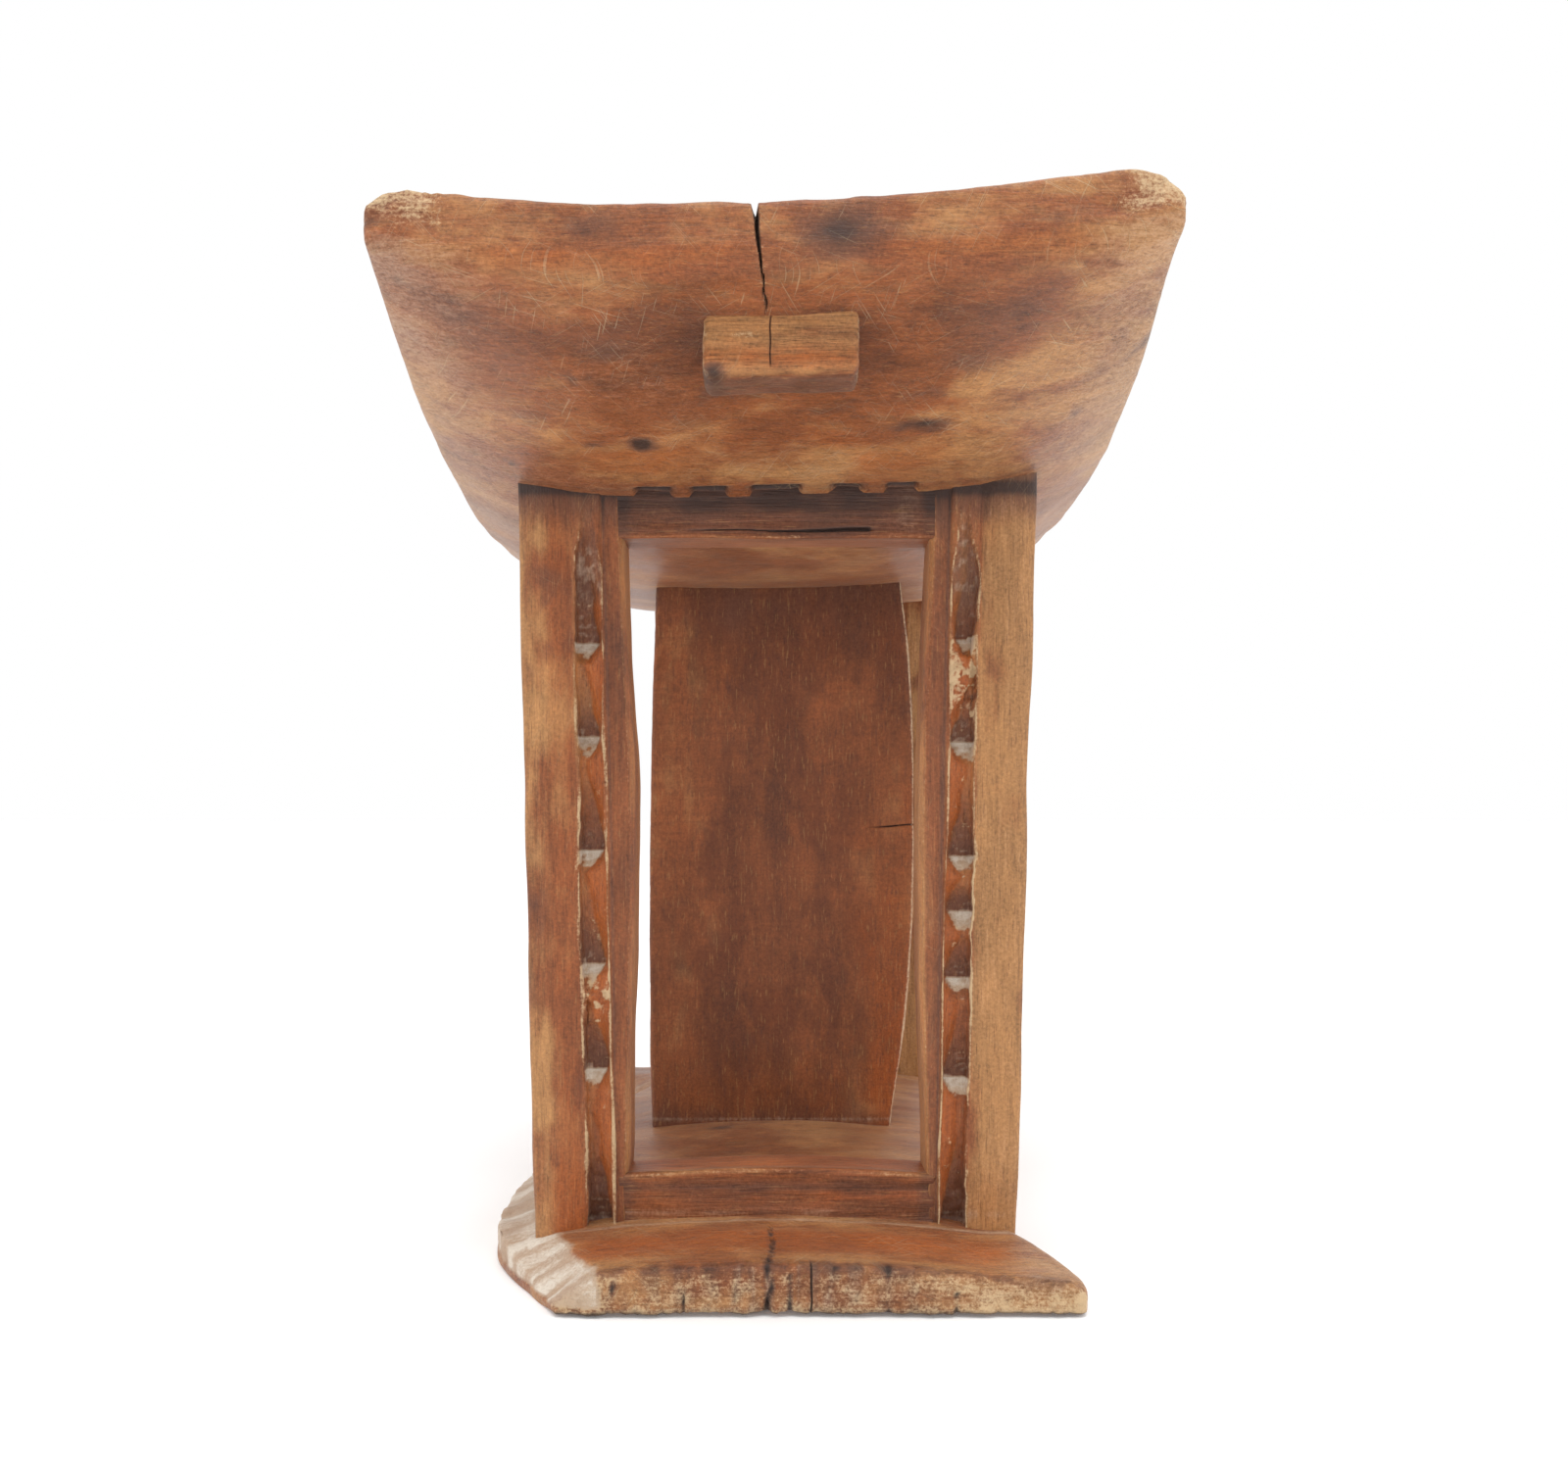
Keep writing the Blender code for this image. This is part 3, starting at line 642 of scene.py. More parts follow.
class Post:
    """The sizes of one post. hand is -1 on the left and 1 on the right, facing -1 in front and 1 behind;
    steps are the heights of its chips' steps, and wreck the middle and reach of a broken-out stretch."""

    def __init__(self, hand, facing, narrower, slimmer, shift, steps, wreck, seed):
        self.hand, self.facing = hand, facing
        self.narrower, self.slimmer, self.shift = narrower, slimmer, shift
        self.steps, self.wreck, self.seed = steps, wreck, seed

    def outer(self, z):
        return FOOT_HALF + CARVED_OFF - self.narrower + 2.4 * frame_share(z)

    def width(self, z):
        swell = 1.4 * np.sin(math.pi * np.clip(frame_share(z), 0, 1)) ** 1.6
        return 11.65 - self.slimmer + 1.8 * frame_share(z) + swell

    def across(self, u, z):
        """Distance from the outer edge at a share u of the grid: the channel keeps its place and breadth,
        while the inner band takes up the post's swell."""
        start = CHANNEL_IN - self.slimmer / 2 + 0.3 * (frame_share(z) - 0.5)
        end = start + CHANNEL_WIDE
        rounded_half = u / CHANNEL_START * start
        band = end + (u - CHANNEL_END) / (1 - CHANNEL_END) * (self.width(z) - end)
        inside = start + (u - CHANNEL_START) / (CHANNEL_END - CHANNEL_START) * CHANNEL_WIDE
        return np.where(u < CHANNEL_START, rounded_half, np.where(u < CHANNEL_END, inside, band))


def channel(post, u, z, at):
    """Depth of the channel and its shares. From each step down, a short torn fan rises out of the deepest
    place; then a scoop starts narrow by the outer wall, and grows deeper and wider down to the next step.
    The outer wall is steep, and the inner wall slants from the scoop's edge up to the bare edge."""

    def drift(pitch, number):
        """Noise that changes with the height alone."""
        return noise(at, (99, 99, pitch), post.seed + number)

    jitter = 0.5 * noise(at + u[:, None] * 6, (3, 3, 40), post.seed + 7)
    height = z + 0.35 * jitter
    bounds = np.array([CHANNEL_LOW, *sorted(post.steps), CHANNEL_HIGH])
    i = np.clip(np.searchsorted(bounds, height, side="right"), 1, len(bounds) - 1)
    length = bounds[i] - bounds[i - 1]
    run = bounds[i] - height
    is_top = i == len(bounds) - 1
    fan = np.where(is_top, 0, np.clip(1 - run / FAN_LENGTH, 0, 1))
    scoop = np.clip((run - 1.8) / (length - 2.5), 0, 1)
    ends = step(z, CHANNEL_HIGH, CHANNEL_HIGH - 4) * step(z, CHANNEL_LOW - 0.5, CHANNEL_LOW + 0.3)
    closing = step(z, CHANNEL_HIGH - 9, CHANNEL_HIGH)
    wave = 0.014 * drift(6, 1) + 0.006 * drift(1.7, 3)
    start = CHANNEL_START + wave + 0.09 * closing - 0.012 * np.maximum(scoop, fan)
    end = CHANNEL_END + 0.010 * drift(8, 2) - 0.06 * closing
    edge_wave = 0.022 * drift(2.6, 4)
    reach = 0.16 + 0.74 * np.maximum(scoop**1.15, fan**0.7)
    floor_edge = start + 0.02 + (end - start - 0.03) * reach + edge_wave
    outer_wall = np.clip((u - start) / 0.022, 0, 1)
    inner_wall = np.clip((end - u) / np.maximum(end - floor_edge, 0.012), 0, 1)
    deep = CHANNEL_DEPTH + SCOOP_DEPTH * np.maximum(scoop**1.4, fan)
    inside = step(u, start - 0.004, start + 0.01) * step(u, end + 0.004, end - 0.01) * ends
    wall = inside * step(u, floor_edge - 0.012, floor_edge + 0.02)
    edges = np.maximum(bell(u, start - 0.004, 0.010), bell(u, end, 0.010))
    edges = edges * step(z, CHANNEL_HIGH + 1, CHANNEL_HIGH - 1)
    shares = {"scoop": scoop, "fan": fan, "inside": inside, "wall": wall, "edges": edges}
    return deep * np.minimum(outer_wall, inner_wall) * ends, shares


def post_surface(post):
    """A rounded box, its breadth following the post's edges. Its front is pushed back by the crown of the
    rounded half, a sine, by the channel, by the band's step and by the jamb's bevel; the push fades
    towards the back."""
    crowds = [
        (CHANNEL_START, 0.03, 0.009),
        (CHANNEL_END, 0.03, 0.009),
        (0.62, 0.12, 0.016),
        (JAMB_START, 0.02, 0.012),
    ]
    across = lines(0, 1, 0.034, crowds)
    deep = lines(0, POST_DEPTH, 0.8, [(0, 1.2, 0.3), (POST_DEPTH, 0.8, 0.4)])
    points, quads = block(across * POST_GRID, deep, lines(POST_LOW, POST_HIGH, 0.36))
    u, b, z = rounded(points, (0.45, 0.45, 0.4)).T
    u = u / POST_GRID
    # the channel's noise is read along one upright line
    at = np.stack([np.full(len(z), 7.7), np.full(len(z), 3.3), z], 1)
    cut, shares = channel(post, u, z, at)
    crown = POST_CROWN * (1 - np.sin(math.pi * (0.15 + 0.7 * np.clip(u / CHANNEL_START, 0, 1))))
    crown = crown + (BAND_DEPTH - crown) * step(u, CHANNEL_END, CHANNEL_END + 0.03)
    crown = crown + JAMB_FALL * np.clip((u - JAMB_START) / (1 - JAMB_START), 0, 1)
    front = np.clip(1 - b / FACE_REACH, 0, 1)
    x = post.shift + post.hand * (post.outer(z) - post.across(u, z))
    y = post.facing * (FRAME_FACE - b - (crown + cut) * front)
    shares = {name: share * step(b, 4.0, 2.0) for name, share in shares.items()}
    return np.stack([x, y, z], 1), quads, u, b, shares


def make_post(name, node, post):
    points, quads, u, b, shares = post_surface(post)
    z = points[:, 2]
    seed = post.seed * 10
    inside, fan, scoop, wall, edges = (shares[k] for k in ("inside", "fan", "scoop", "wall", "edges"))
    floor = inside * (1 - wall)
    wreck = bell(z, *post.wreck) * inside
    crushed = 0.6 * rough(points, (1.1, 1.1, 0.34), seed + 8) + 0.3 * rough(points, 0.9, seed + 10)
    ragged = rough(points, 1.1, seed + 5)
    patch = rough(points, (3.5, 3.5, 6), seed + 6)
    depth = 0.22 * rough(points, 16, seed) + 0.05 * noise(points, (2.2, 2.2, 13), seed + 1) * (1 - inside)
    depth += 0.05 * noise(points, (0.7, 0.7, 16), seed + 2) * (1 - inside)
    torn = 0.10 * crushed * np.maximum(fan, scoop**3)
    depth += (torn + 0.12 * rough(points, (1.2, 1.2, 0.9), seed + 3)) * floor
    depth += 0.10 * rough(points, (1.5, 1.5, 2.5), seed + 9) * wall
    depth += 0.75 * rough(points, 1.3, seed + 4) * wreck - 0.35 * wreck
    depth -= (0.16 + 0.10 * ragged) * edges * (1 - wreck)
    points = carve(points, outward(points, quads), depth)
    front = step(b, 3.0, 1.0)
    rounded_half = step(u, CHANNEL_START, CHANNEL_START - 0.04)
    inner_band = step(u, CHANNEL_END + 0.005, CHANNEL_END + 0.03)
    inner_band = inner_band * step(u, JAMB_START, JAMB_START - 0.02) * front
    jamb = step(u, JAMB_START, JAMB_START + 0.02)
    head = step(z, FRAME_CEILING - 7, FRAME_CEILING)
    foot = step(z, FRAME_FLOOR + 12, FRAME_FLOOR + 3)
    # painted light on the rounded half: lighter towards the outer edge, and more so on the right post, lit
    # from the right
    side_lit_tan = (0.90 - 2.7 * u) if post.hand < 0 else (1.55 - 1.5 * u)
    deep_end = floor * step(z, FRAME_FLOOR + 9, FRAME_FLOOR + 4)
    # the torn fans below the steps: pale torn fibres with a painted highlight, as they face up
    torn_lit_fan = step(fan + 0.38 * crushed + 0.22 * ragged - 2.4 * np.abs(u - 0.60), 0.0, 0.45)
    torn_lit_fan = torn_lit_fan * (fan > 0) * floor * (1 - deep_end)
    # painted shade: the scoops, which face down, are darkened
    dim_scoop = scoop**1.3 * floor * (1 - fan)
    channel_top = inside * step(z, 84, 90)
    plain = floor * (1 - scoop) * (1 - fan)
    # a painted contact shadow where the seat meets the post
    seat_contact_shadow = 0.5 * bell(z, FRAME_CEILING + 0.4, 1.0)
    right, left = post.hand > 0, post.hand < 0
    marks = {
        "tone": side_lit_tan * rounded_half * (1 - 0.8 * head) - 0.45 * inner_band + 0.45 * jamb
        + 0.7 * patch * rounded_half - 0.4 * dim_scoop + 0.3 * plain,
        "bare": 0.75 * torn_lit_fan + 0.45 * inside * step(ragged, 0.55, 0.95)
        + (0.60 + 0.45 * patch) * edges + 0.75 * wreck * step(ragged, -0.3, 0.4)
        # painted highlights: the right post's rounded half and each post's outer edge lightened
        + 0.14 * rounded_half * right * step(patch, -0.9, 0.4)
        + 0.28 * bell(u, 0.0, 0.02) * step(patch, -0.5, 0.4)
        + 0.40 * bell(u, JAMB_START, 0.010) * front,
        "grime_and_shade": 0.42 * dim_scoop + 0.34 * channel_top + 0.16 * deep_end
        + (0.48 * head + seat_contact_shadow) * front * (1 - inside)
        # a painted shadow line on the band beside the channel
        + 0.35 * inner_band * bell(u, CHANNEL_END + 0.035, 0.015)
        + (0.10 + 0.10 * right) * inner_band + 0.32 * bell(u, JAMB_START - 0.02, 0.010) * front
        + 0.5 * wreck * step(ragged, -0.5, -1.0)
        + 0.16 * bell(u, CHANNEL_START - 0.05, 0.05) * front * step(patch, -0.3, 0.5)
        + 0.18 * rounded_half * foot * step(patch, 0.0, 0.8)
        + 0.26 * rounded_half * step(patch, -0.3, -1.0),
        # painted warm light on the channel's inner wall, the scoops, the window sides and the bands
        "painted_warm_light": np.clip(
            wall * (1 - 0.7 * channel_top) + 0.30 * dim_scoop + 0.65 * plain + 0.45 * jamb
            + rounded_half * front * (0.45 * step(u, 0.12, 0.30) * left + 0.35 * foot)
            + 0.25 * inner_band,
            0,
            1,
        ),
        # painted highlights: the right post's rounded half and the torn fans whitened
        "wax_and_sheen": 0.16 * rounded_half * right * step(patch, -0.9, 0.5)
        + (0.60 + 0.38 * fan + 0.16 * crushed) * torn_lit_fan + 0.06 * inner_band * step(patch, -0.3, 0.8)
        + 0.20 * bell(z, FRAME_FLOOR + 0.4, 0.6) * front * step(patch, -0.5, 0.5)
        + 0.45 * dim_scoop * step(scoop, 0.55, 0.95) * step(crushed, -0.1, 0.5)
        + 0.40 * channel_top * step(ragged, -0.5, 0.6),
    }
    made = member(name, points, quads, post_wood, marks)
    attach(made, "root")
    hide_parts(node)


REAR_LESS = 5.2  # how much narrower the far frame is on each side
REAR_SLIMMER = 1.8  # and each of its posts
REAR_SHIFT = 2.8
post_wood = wood("post_wood_upright", (0.42, 0.42, 7.0), (3, 3, 10), 0.60, 0.0, 0.25, 0.42)
LEFT_STEPS = (81.9, 69.7, 55.0, 40.4, 26.7)
RIGHT_STEPS = (82.6, 69.0, 54.5, 47.2, 38.7, 25.7)
REAR_LEFT_STEPS = (80.4, 66.0, 52.1, 37.9, 24.0)
REAR_RIGHT_STEPS = (83.0, 68.4, 55.3, 41.0, 27.2)
front_left = Post(-1, -1, 0, 0, 0, LEFT_STEPS, (36.0, 3.0), 31)
front_right = Post(1, -1, 0, 0, 0, RIGHT_STEPS, (77.0, 5.0), 32)
rear_left = Post(-1, 1, REAR_LESS + 1.3, REAR_SLIMMER, REAR_SHIFT, REAR_LEFT_STEPS, (20.0, 2.0), 33)
rear_right = Post(1, 1, REAR_LESS, REAR_SLIMMER, REAR_SHIFT, REAR_RIGHT_STEPS, (62.0, 2.5), 34)
make_post("front_left_post_carved", "front_frame_left_post", front_left)
make_post("front_right_post_carved", "front_frame_right_post", front_right)
make_post("rear_left_post_carved", "rear_frame_left_post", rear_left)
make_post("rear_right_post_carved", "rear_frame_right_post", rear_right)


# The frames' rails: the head and the sill of each window, cut from the block in line with the posts' inner
# bands. The heads are darker under the notched seat, and a split follows the near one's lower edge.

HEAD_LOW = corners("front_frame_top_rail")[0][2]
SILL_HIGH = corners("front_frame_bottom_rail")[1][2]
NOTCH_FLOOR = 100.4  # height of the foot of the notches over the heads
HEAD_TOP = 105.0  # sunk in the seat
SILL_FOOT = 4.5  # sunk in the base


def rail_surface(facing, half, shift, low, high, crowds):
    """A rounded box between the posts, its face in line with their bands."""
    across = lines(shift - half, shift + half, 0.42)
    deep = lines(0, POST_DEPTH - BAND_DEPTH, 0.8, [(0, 1.2, 0.3)])
    points, quads = block(across, deep, lines(low, high, 0.5, crowds))
    x, b, z = rounded(points, (0.2, 0.4, 0.4)).T
    return np.stack([x, facing * (FRAME_FACE - BAND_DEPTH - b), z], 1), quads, b


def make_rail(name, node, facing, is_head, half, shift, seed):
    if is_head:
        low, high, crowds = HEAD_LOW, HEAD_TOP, [(HEAD_LOW + 1.0, 1.2, 0.12), (NOTCH_FLOOR, 0.6, 0.15)]
    else:
        low, high, crowds = SILL_FOOT, SILL_HIGH, [(SILL_HIGH, 1.2, 0.25)]
    points, quads, b = rail_surface(facing, half, shift, low, high, crowds)
    x, _, z = points.T
    across = (x - shift) / half
    if not is_head:
        points[:, 2] += 0.7 * (1 - across**2) * step(z, 10, high)
    front = step(b, 2.0, 0.6)
    depth = 0.16 * rough(points, 12, seed) + 0.05 * noise(points, (14, 2, 0.7), seed + 1)
    split_off = z - (low + 1.1) - 0.16 * noise(points, (5, 9, 9), seed + 2)
    split_here = step(x, -12.5, -8) * step(x, 12.3, 11.9) * front * is_head * (facing < 0)
    split_width = 0.07 + 0.20 * step(x, -4, 11)
    depth += split(split_off, split_width, 0.8) * split_here
    depth += 0.25 * noise(points, (20, 20, 1.6), seed + 5) * front * (not is_head)
    points = carve(points, outward(points, quads), depth)
    patch = rough(points, 5.0, seed + 3)
    lip = bell(z, low + 0.25, 0.40) if is_head else bell(points[:, 2], high + 0.5 - 0.7 * across**2, 0.5)
    seam = step(np.abs(across), 0.86, 0.93) * front
    upper = step(z, NOTCH_FLOOR - 3.5, NOTCH_FLOOR - 0.5) * is_head
    is_sill = not is_head
    marks = {
        "tone": -1.0 + 0.9 * lip + 0.3 * step(patch, 0.2, 1.0) + 0.5 * is_sill,
        "bare": 0.34 * lip * front * step(patch, -0.9, 0.2),
        "grime_and_shade": (0.26 - 0.12 * is_sill) * front * (1 - lip) + 0.40 * upper * front
        + bell(split_off, 0, split_width) * split_here + 0.12 * step(patch, 0.3, -0.4)
        + 0.25 * bell(z, high - 1.5, 0.5) * is_sill + 0.2 * seam,
        # the inner faces and the sill warmed as painted bounce light
        "painted_warm_light": 0.25 * is_sill + (0.55 + 0.3 * is_sill) * (1 - front)
        + 0.8 * bell(z, 10.6, 0.7) * step(x, 2, 10) * is_sill,
        "wax_and_sheen": front
        * (
            0.24 * is_head * bell(x, 16, 5) * step(patch, -0.4, 0.5) * (facing < 0)
            + 0.28 * is_sill * bell(z, 8.3, 0.8) * step(patch, -0.9, 0.5)
        ),
    }
    made = member(name, points, quads, rail_wood, marks)
    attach(made, "root")
    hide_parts(node)


rail_wood = wood("rail_wood_level", (9.0, 0.6, 0.40), (7, 4, 2.5), 1.0, 0.0, 0.12, 0.46)
make_rail("front_head_carved", "front_frame_top_rail", -1, True, 21.2, 0.0, 41)
make_rail("front_sill_carved", "front_frame_bottom_rail", -1, False, 20.6, 0.0, 42)
make_rail("rear_head_carved", "rear_frame_top_rail", 1, True, 17.6, REAR_SHIFT, 43)
make_rail("rear_sill_carved", "rear_frame_bottom_rail", 1, False, 17.0, REAR_SHIFT, 44)


# The seat: the dished rest for the neck, its ends swept up and its underside rounded like a hull. It is
# polished by use, scraped bare at its four corners, blotched below, and split at the near end.

SEAT_HALF = 41.7  # half width at the ends
SEAT_BELLY = 2.6  # how far each side swells beyond that at mid length
SEAT_REACH = seat_high[1]  # from the middle to each end
SEAT_KEEL = 95.0  # height of the underside's lowest place
SEAT_THICK = 10.0  # at the middle
SEAT_LIP = 6.5  # thickness on the centre line at the ends
SEAT_RISE = 21.7  # how far the keel line climbs to the ends
SEAT_HULL = 8.3  # how far the underside climbs from keel to side, at mid length
SEAT_HULL_LESS = 5.1  # and how much less it climbs at the ends
SEAT_HULL_POWER = 4.2
SEAT_FLANK = 1.3  # how much higher the hull's right side lies at mid length
SEAT_DISH = 3.4  # how far the top climbs from centre line to side, at mid length
SEAT_DISH_LESS = 1.2  # and how much less it climbs at the ends
SEAT_LIFT = 0.8  # how much higher the top's right corners lie
SEAT_LEAN = 0.026  # cross slope of the whole
SEAT_SPLIT = -2.0
NOTCHES = ((-15.7, 2.4), (-8.6, 2.4), (0.0, 3.1), (9.2, 1.9), (16.1, 2.0))  # middle and half width

# Blots on the underside: place across, place along, reach across, reach along, strength.
BLOTS = (
    (-16.1, -67.0, 1.9, 1.3, 1.0),
    (-22.1, -66.6, 1.5, 0.9, 0.60),
    (-32.8, -59.9, 0.8, 1.0, 0.80),
    (17.3, -70.0, 2.8, 1.2, 0.95),
    (-23.2, -80.0, 1.1, 0.9, 0.60),
    (-6.8, -77.3, 1.5, 1.0, 0.55),
    (42.0, -75.8, 1.2, 1.6, 0.60),
    (36.2, -67.2, 1.0, 1.5, 0.55),
    (-18.0, -84.0, 3.0, 1.8, 0.42),
    (22.0, -80.5, 3.5, 2.0, 0.36),
    (18.0, -76.0, 2.0, 1.2, 0.36),
    (-29.0, -72.0, 2.4, 1.6, 0.36),
    (9.5, 62.0, 2.4, 1.6, 0.80),
    (-21.0, 71.0, 1.8, 1.2, 0.70),
    (26.0, 48.0, 1.2, 1.6, 0.60),
)

# How far the near end's top edge departs from the dish, as (place across, height): its corners are rubbed
# down, the right one more.
RIM_WEAR = (
    (-42.0, -0.9),
    (-40.3, -0.3),
    (-38.6, 0.3),
    (-36.5, 0.45),
    (-33.0, 0.25),
    (-28.0, 0.1),
    (-14.0, -0.35),
    (-2.0, -0.3),
    (5.0, -0.1),
    (20.0, -0.15),
    (33.0, -0.25),
    (37.5, -0.5),
    (39.5, -1.1),
    (41.0, -2.0),
    (42.5, -3.2),
)


def notch_mask(x, scale):
    """1 inside a notch and 0 outside; the far frame's notches are drawn in by a scale."""
    off = np.min([np.abs(x / scale - middle) - half for middle, half in NOTCHES], axis=0)
    return step(off, 0.20, -0.20)


def seat_side(y):
    return SEAT_HALF + CARVED_OFF + SEAT_BELLY * (1 - (y / SEAT_REACH) ** 2)


def seat_bottom(x, y):
    """Height of the underside: the keel line climbs to the ends, the hull climbs to the sides, and the
    whole leans a little to one side."""
    along = np.minimum(np.abs(y) / SEAT_REACH, 1)
    hull = (SEAT_HULL - SEAT_HULL_LESS * along**2) * (np.abs(x) / seat_side(y)) ** SEAT_HULL_POWER
    hull = hull + SEAT_FLANK * (1 - along**2) * step(x, 32, 43)
    return SEAT_KEEL + SEAT_RISE * along**2.28 + hull + SEAT_LEAN * x


def seat_top(x, y):
    """Height of the dished top: it climbs with the square of the distance along and across, and a little
    more on the right at the ends."""
    along = np.minimum(np.abs(y) / SEAT_REACH, 1)
    dish = (SEAT_DISH - SEAT_DISH_LESS * along**2) * (np.abs(x) / seat_side(y)) ** 2
    climb = SEAT_RISE + SEAT_LIP - SEAT_THICK
    lean = SEAT_LEAN * x + SEAT_LIFT * along**4 * step(x, 5, 38)
    wear = curve_through(RIM_WEAR, x) * step(-y, 84, 93)
    return SEAT_KEEL + SEAT_THICK + climb * along**2 + dish + lean + wear


def seat_surface():
    """A rounded box whose breadth follows the sides and whose two broad faces follow the hull and the
    dish. up is the place between them, from 0 below to 1 above."""
    wide = SEAT_HALF + SEAT_BELLY
    across = lines(-wide, wide, 0.66, [(SEAT_SPLIT + 0.4, 1.3, 0.11)])
    near_crowds = [(-SEAT_REACH, 7, 0.42), (-FRAME_FACE - 1, 2.5, 0.28)]
    along = lines(-SEAT_REACH, SEAT_REACH, 0.90, near_crowds)
    points, quads = block(across, along, lines(-4, 4, 0.8, [(-4, 1.2, 0.4), (4, 1.2, 0.4)]))
    x, y, z = rounded(points, (1.0, 0.8, 0.9)).T
    x = x * seat_side(y) / wide
    up = (z + 4) / 8
    low, high = seat_bottom(x, y), seat_top(x, y)
    # the lower edge of each end is rubbed round
    worn = np.clip(1 - (SEAT_REACH - np.abs(y)) / 1.8, 0, 1) ** 2
    return np.stack([x, y, low + 0.9 * worn + (high - low - 0.9 * worn) * up], 1), quads, up


points, quads, up = seat_surface()
x, y, z = points.T
end = step(np.abs(y), SEAT_REACH - 0.9, SEAT_REACH - 0.2)
near_end = end * (y < 0)
corner = step(np.abs(x), 29, 38) * bell(np.abs(y), SEAT_REACH, 2.5) * step(up, -0.1, 0.45)
tip = step(np.abs(x), 38.5, 42.0) * bell(np.abs(y), SEAT_REACH, 3.0) * step(up, 0.6, 1.0)
below = step(up, 0.25, 0.05)
from_top = (1 - up) * SEAT_LIP
run = np.where(below > 0.5, SEAT_LIP + (y + SEAT_REACH), np.where(up > 0.95, 0, from_top))
split_way = SEAT_SPLIT + 0.09 * run + 0.16 * noise(points, 1.7, 51) + 0.11 * noise(points, 0.6, 52)
split_width = np.clip(0.42 - 0.042 * run, 0.09, 0.5)
on_top = (up > 0.9) * step(y, -66, -92)
split_below = below * (up <= 0.9) * step(y, -88.5, -90.5) * (1 - near_end)
split_here = np.clip(np.where(up > 0.9, on_top, near_end) + split_below, 0, 1)
scraped = step(rough(points, 3.0, 57), -0.7, 0.3)
depth = 0.40 * rough(points, 21, 53) - 0.25 + 0.10 * noise(points, (7, 11, 7), 54)
depth += 0.03 * rough(points, 1.6, 55)
depth += (0.34 * rough(points, 1.3, 56) + 0.20) * corner * scraped + 0.9 * tip**2
depth += 0.07 * rough(points, (6, 1, 0.7), 58) * end
depth += 0.12 * rough(points, (3.0, 1.2, 2), 60) * bell(np.abs(y), SEAT_REACH, 1.0) * step(up, 0.9, 1.0)
depth += split(x - split_way, split_width, 2.2) * split_here


def notched_over(facing, shift, scale):
    """1 in the row of small square notches cut up into the underside over one frame's face."""
    off = facing * y - FRAME_FACE
    return notch_mask(x - shift, scale) * step(off, 1.6, 1.3) * step(off, -2, 0) * below


notched = notched_over(-1, 0, 1) + notched_over(1, REAR_SHIFT, 0.83)
depth += 1.2 * notched
points = carve(points, quads, depth)
waver_x, waver_y = 0.9 * rough(points, 2.4, 61), 0.7 * rough(points, 2.0, 62)
blots = sum(power * bell(x + waver_x, a, ra) * bell(y + waver_y, b, rb) for a, b, ra, rb, power in BLOTS)
blots = blots * below
smudge = bell(x + waver_x, 7.2, 4.6) * bell(up, 0.36, 0.42) * 0.80
smudge = (smudge + bell(x, -19.5, 3.0) * bell(up, 0.5, 0.3) * 0.36) * near_end
rim = bell(np.abs(y), SEAT_REACH, 1.2) * step(up, 0.93, 1.0)
worn_patch = step(rough(points, 2.6, 59), -0.35, 0.45)
drift = rough(points, (14, 9, 9), 63)
lower_edge = bell(np.abs(y), SEAT_REACH - 0.4, 1.1) * step(up, 0.30, 0.08) * step(drift, -0.6, 0.4)
# painted warm light bounced up from the floor onto the underside near the frame
floor_bounce = bell(y, -64, 11) * step(np.abs(x + 2), 38, 16) * step(drift, -0.7, 0.4)
hollow = bell(np.abs(y), 86.5, 5.0) * step(drift, -0.8, 0.3)
# the underside is darker round the lug
lug_surround = bell(np.abs(y), 82, 6.5) * bell(x, 0.7, 13)
flank = step(np.abs(x), 26, 41)
# painted light: the underside lighter towards the frame
lit_below = 0.55 * step(x, 12, 36) * step(y, -45, -60) + 0.5 * bell(y, -60, 7) * step(np.abs(x), 34, 22)
dim_below = (1.0 - 0.6 * flank) * hollow
seat_marks = {
    "tone": 0.05 + 0.18 * end + below * (lit_below - dim_below - 0.9 * lug_surround + 0.35 * drift)
    # the sides are lightened as a painted grazing highlight
    + 0.30 * step(up, 0.5, 0.9) * (1 - end) + 0.25 * step(np.abs(x), 37, 43) * (1 - end),
    "bare": 0.56 * corner * (0.6 + 0.4 * worn_patch) + 0.35 * rim * worn_patch + 0.5 * tip
    + 0.34 * bell(x, split_way, 0.8) * split_here,
    # the notches are darkened as painted shade
    "grime_and_shade": blots + smudge + notched + split_here * bell(x, split_way, split_width * 0.8)
    # a painted contact shadow on the underside before the frame
    + below * 0.22 * bell(y, -FRAME_FACE - 0.9, 1.0)
    + below * (0.24 * hollow * (1 - 0.7 * flank) + 0.26 * lug_surround + 0.10 * step(drift, 0.1, 0.9)),
    "painted_warm_light": np.clip(
        0.55 * lower_edge + below * (0.65 * floor_bounce + 0.40 * step(np.abs(y), 45, 30)) + 0.15 * end, 0, 1
    ),
    # painted grazing sheen on the underside, strongest on the flanks
    "wax_and_sheen": below * (0.06 + 0.24 * flank + 0.10 * step(drift, 0.2, -0.6) * step(x, 5, -15)),
}
seat_wood = wood("seat_wood_polished", (2.6, 0.7, 0.30), (5, 4, 3), 0.75, 0.0, 1.0, 0.36)
seat = member("seat_carved", points, quads, seat_wood, seat_marks)
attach(seat, "root")
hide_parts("seat")


# The lugs: a small rectangular block left standing under each end of the seat, its edges rubbed pale.

LUG_HALF = 8.3
LUG_ASIDE = 0.7  # how far the lugs stand off the centre line
LUG_TALL = 8.5  # with what is sunk in the seat
LUG_SPLIT = -0.45


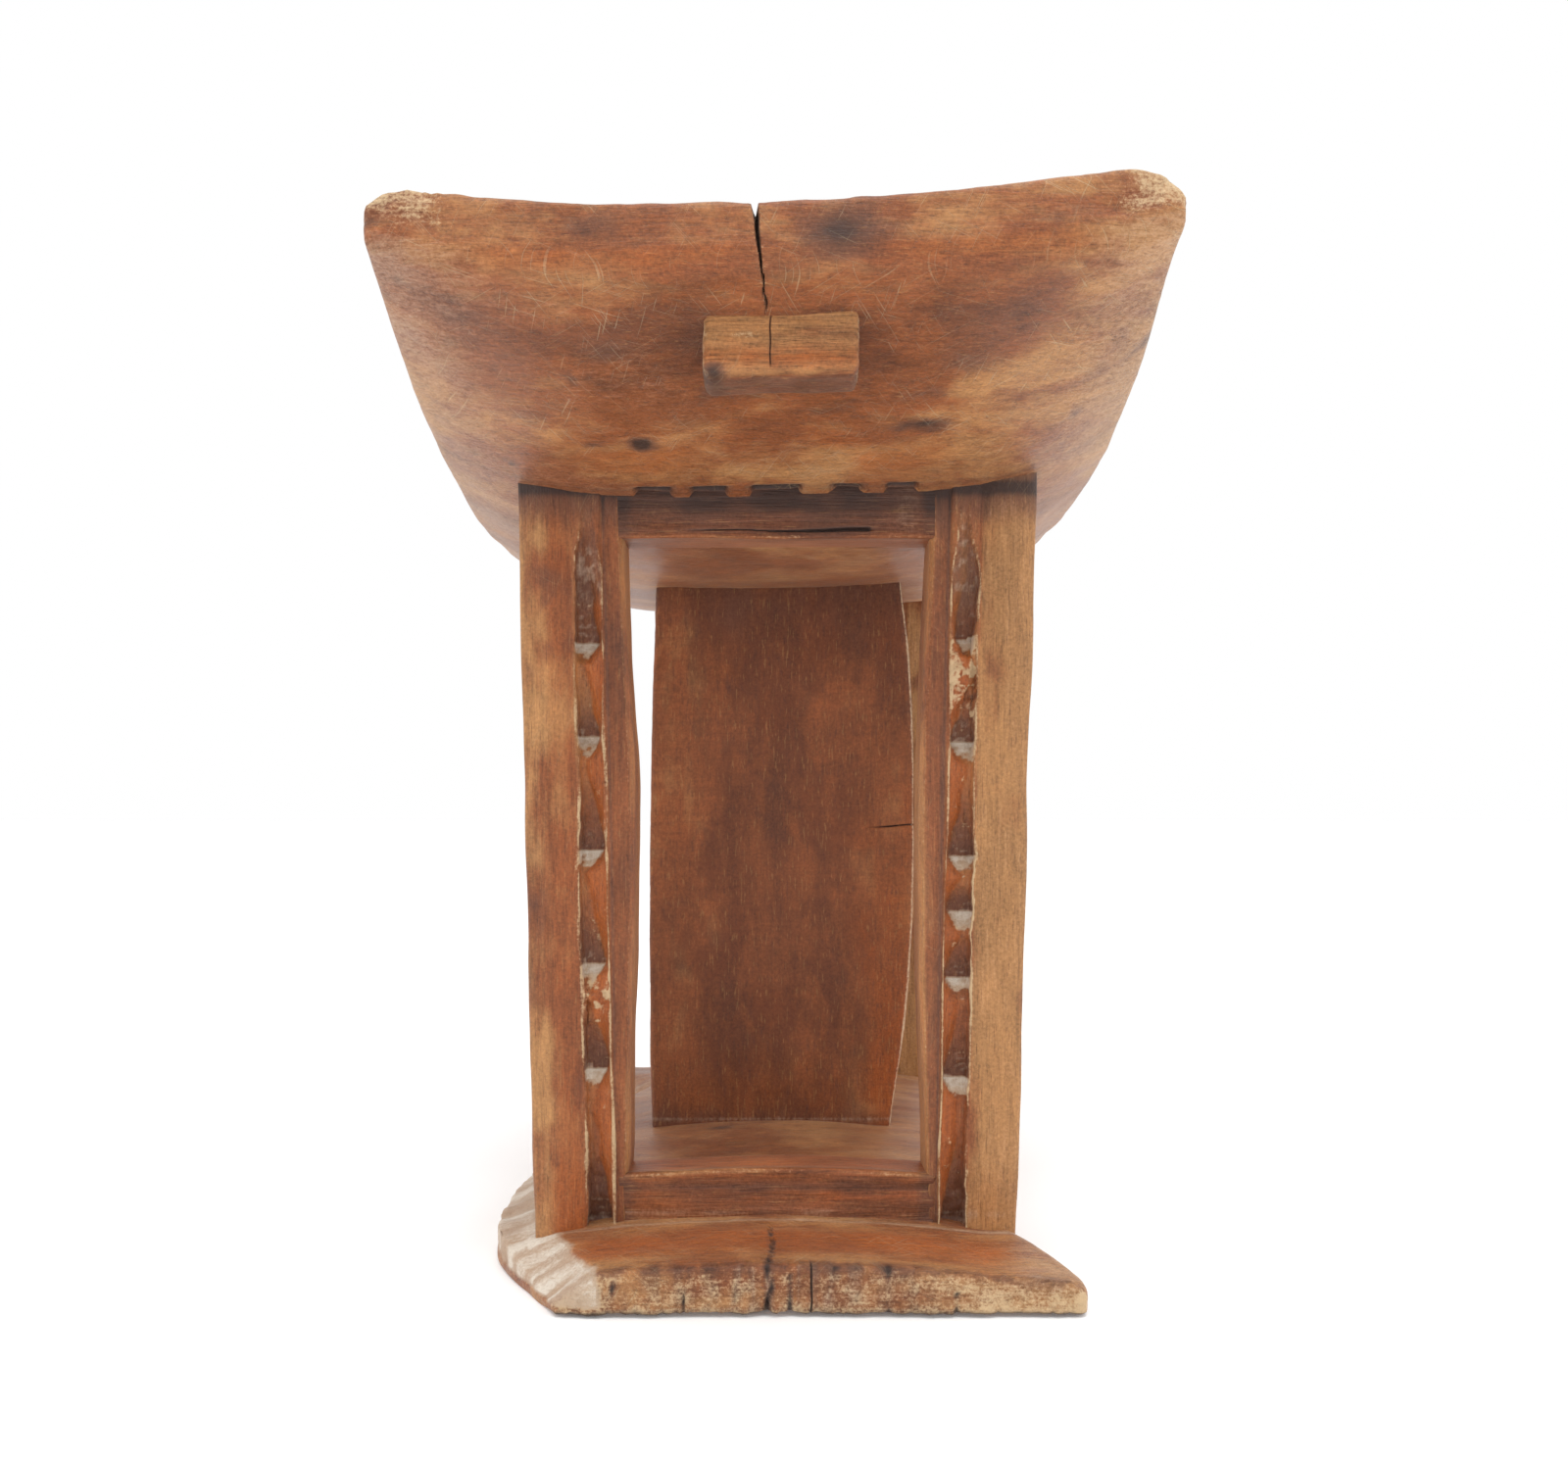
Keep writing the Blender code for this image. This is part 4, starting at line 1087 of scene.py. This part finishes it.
def make_lug(name, node, facing, seed):
    """A rounded box that leans with the underside above it; its top is sunk in the seat."""
    low, high = corners(node)
    bottom = low[2]
    crowds = [(-LUG_HALF, 1.2, 0.18), (LUG_HALF, 1.2, 0.18), (-1.1, 0.8, 0.08)]
    across = lines(-LUG_HALF, LUG_HALF, 0.4, crowds)
    half = (high[1] - low[1]) / 2
    points, quads = block(across, lines(-half, half, 0.35), lines(bottom, bottom + LUG_TALL, 0.33))
    x, y, z = rounded(points, (0.7, 1.3, 1.3)).T
    middle = (low[1] + high[1]) / 2
    points = np.stack([x + LUG_ASIDE, y + middle, z + SEAT_LEAN * x - 0.10 * (half + facing * -y)], 1)
    x, y, z = points.T
    face = bell(y * facing, abs(middle) + half, 1.0)
    split_way = LUG_SPLIT + 0.12 * noise(points, 1.4, seed)
    split_here = (facing < 0) * step(z, bottom + 0.3, bottom + 1.2)
    depth = 0.14 * rough(points, 6, seed + 1) + 0.07 * rough(points, (5, 1, 0.6), seed + 2)
    depth += split(x - split_way, 0.08, 0.5) * split_here
    points = carve(points, quads, depth)
    ragged = rough(points, (1.4, 1.2, 1.2), seed + 3)
    tips = bell(np.abs(x - LUG_ASIDE), LUG_HALF, 0.45)
    top_edge = bell(z, bottom + 4.0, 0.5) * bell(x, -2.5, 4) * face
    marks = {
        # painted light: the near face lighter than the other faces
        "tone": 1.60 * face - 0.45 + 0.3 * ragged,
        "bare": 0.50 * tips * step(ragged, -0.9, 0.3) + 0.55 * top_edge * step(ragged, -0.4, 0.4),
        "grime_and_shade": 0.75 * bell(x, -6.5, 1.2) * bell(z, bottom + 0.3, 0.8)
        + 0.8 * bell(x, split_way, 0.09) * split_here
        # painted shade on the bottom and the lower part of the other faces
        + 0.42 * (1 - face) * step(z, bottom + 1.5, bottom + 0.5),
        "painted_warm_light": np.clip(0.15 + 0.40 * bell(z, bottom + 1.6, 1.2) + 0.2 * face, 0, 1),
    }
    made = member(name, points, quads, lug_wood, marks)
    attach(made, "root")
    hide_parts(node)


lug_wood = wood("lug_wood", (5.0, 1.2, 0.28), (4, 3, 1.5), 1.2, 0.0, 0.4, 0.42)
make_lug("front_lug_carved", "front_lug", -1, 61)
make_lug("rear_lug_carved", "rear_lug", 1, 62)
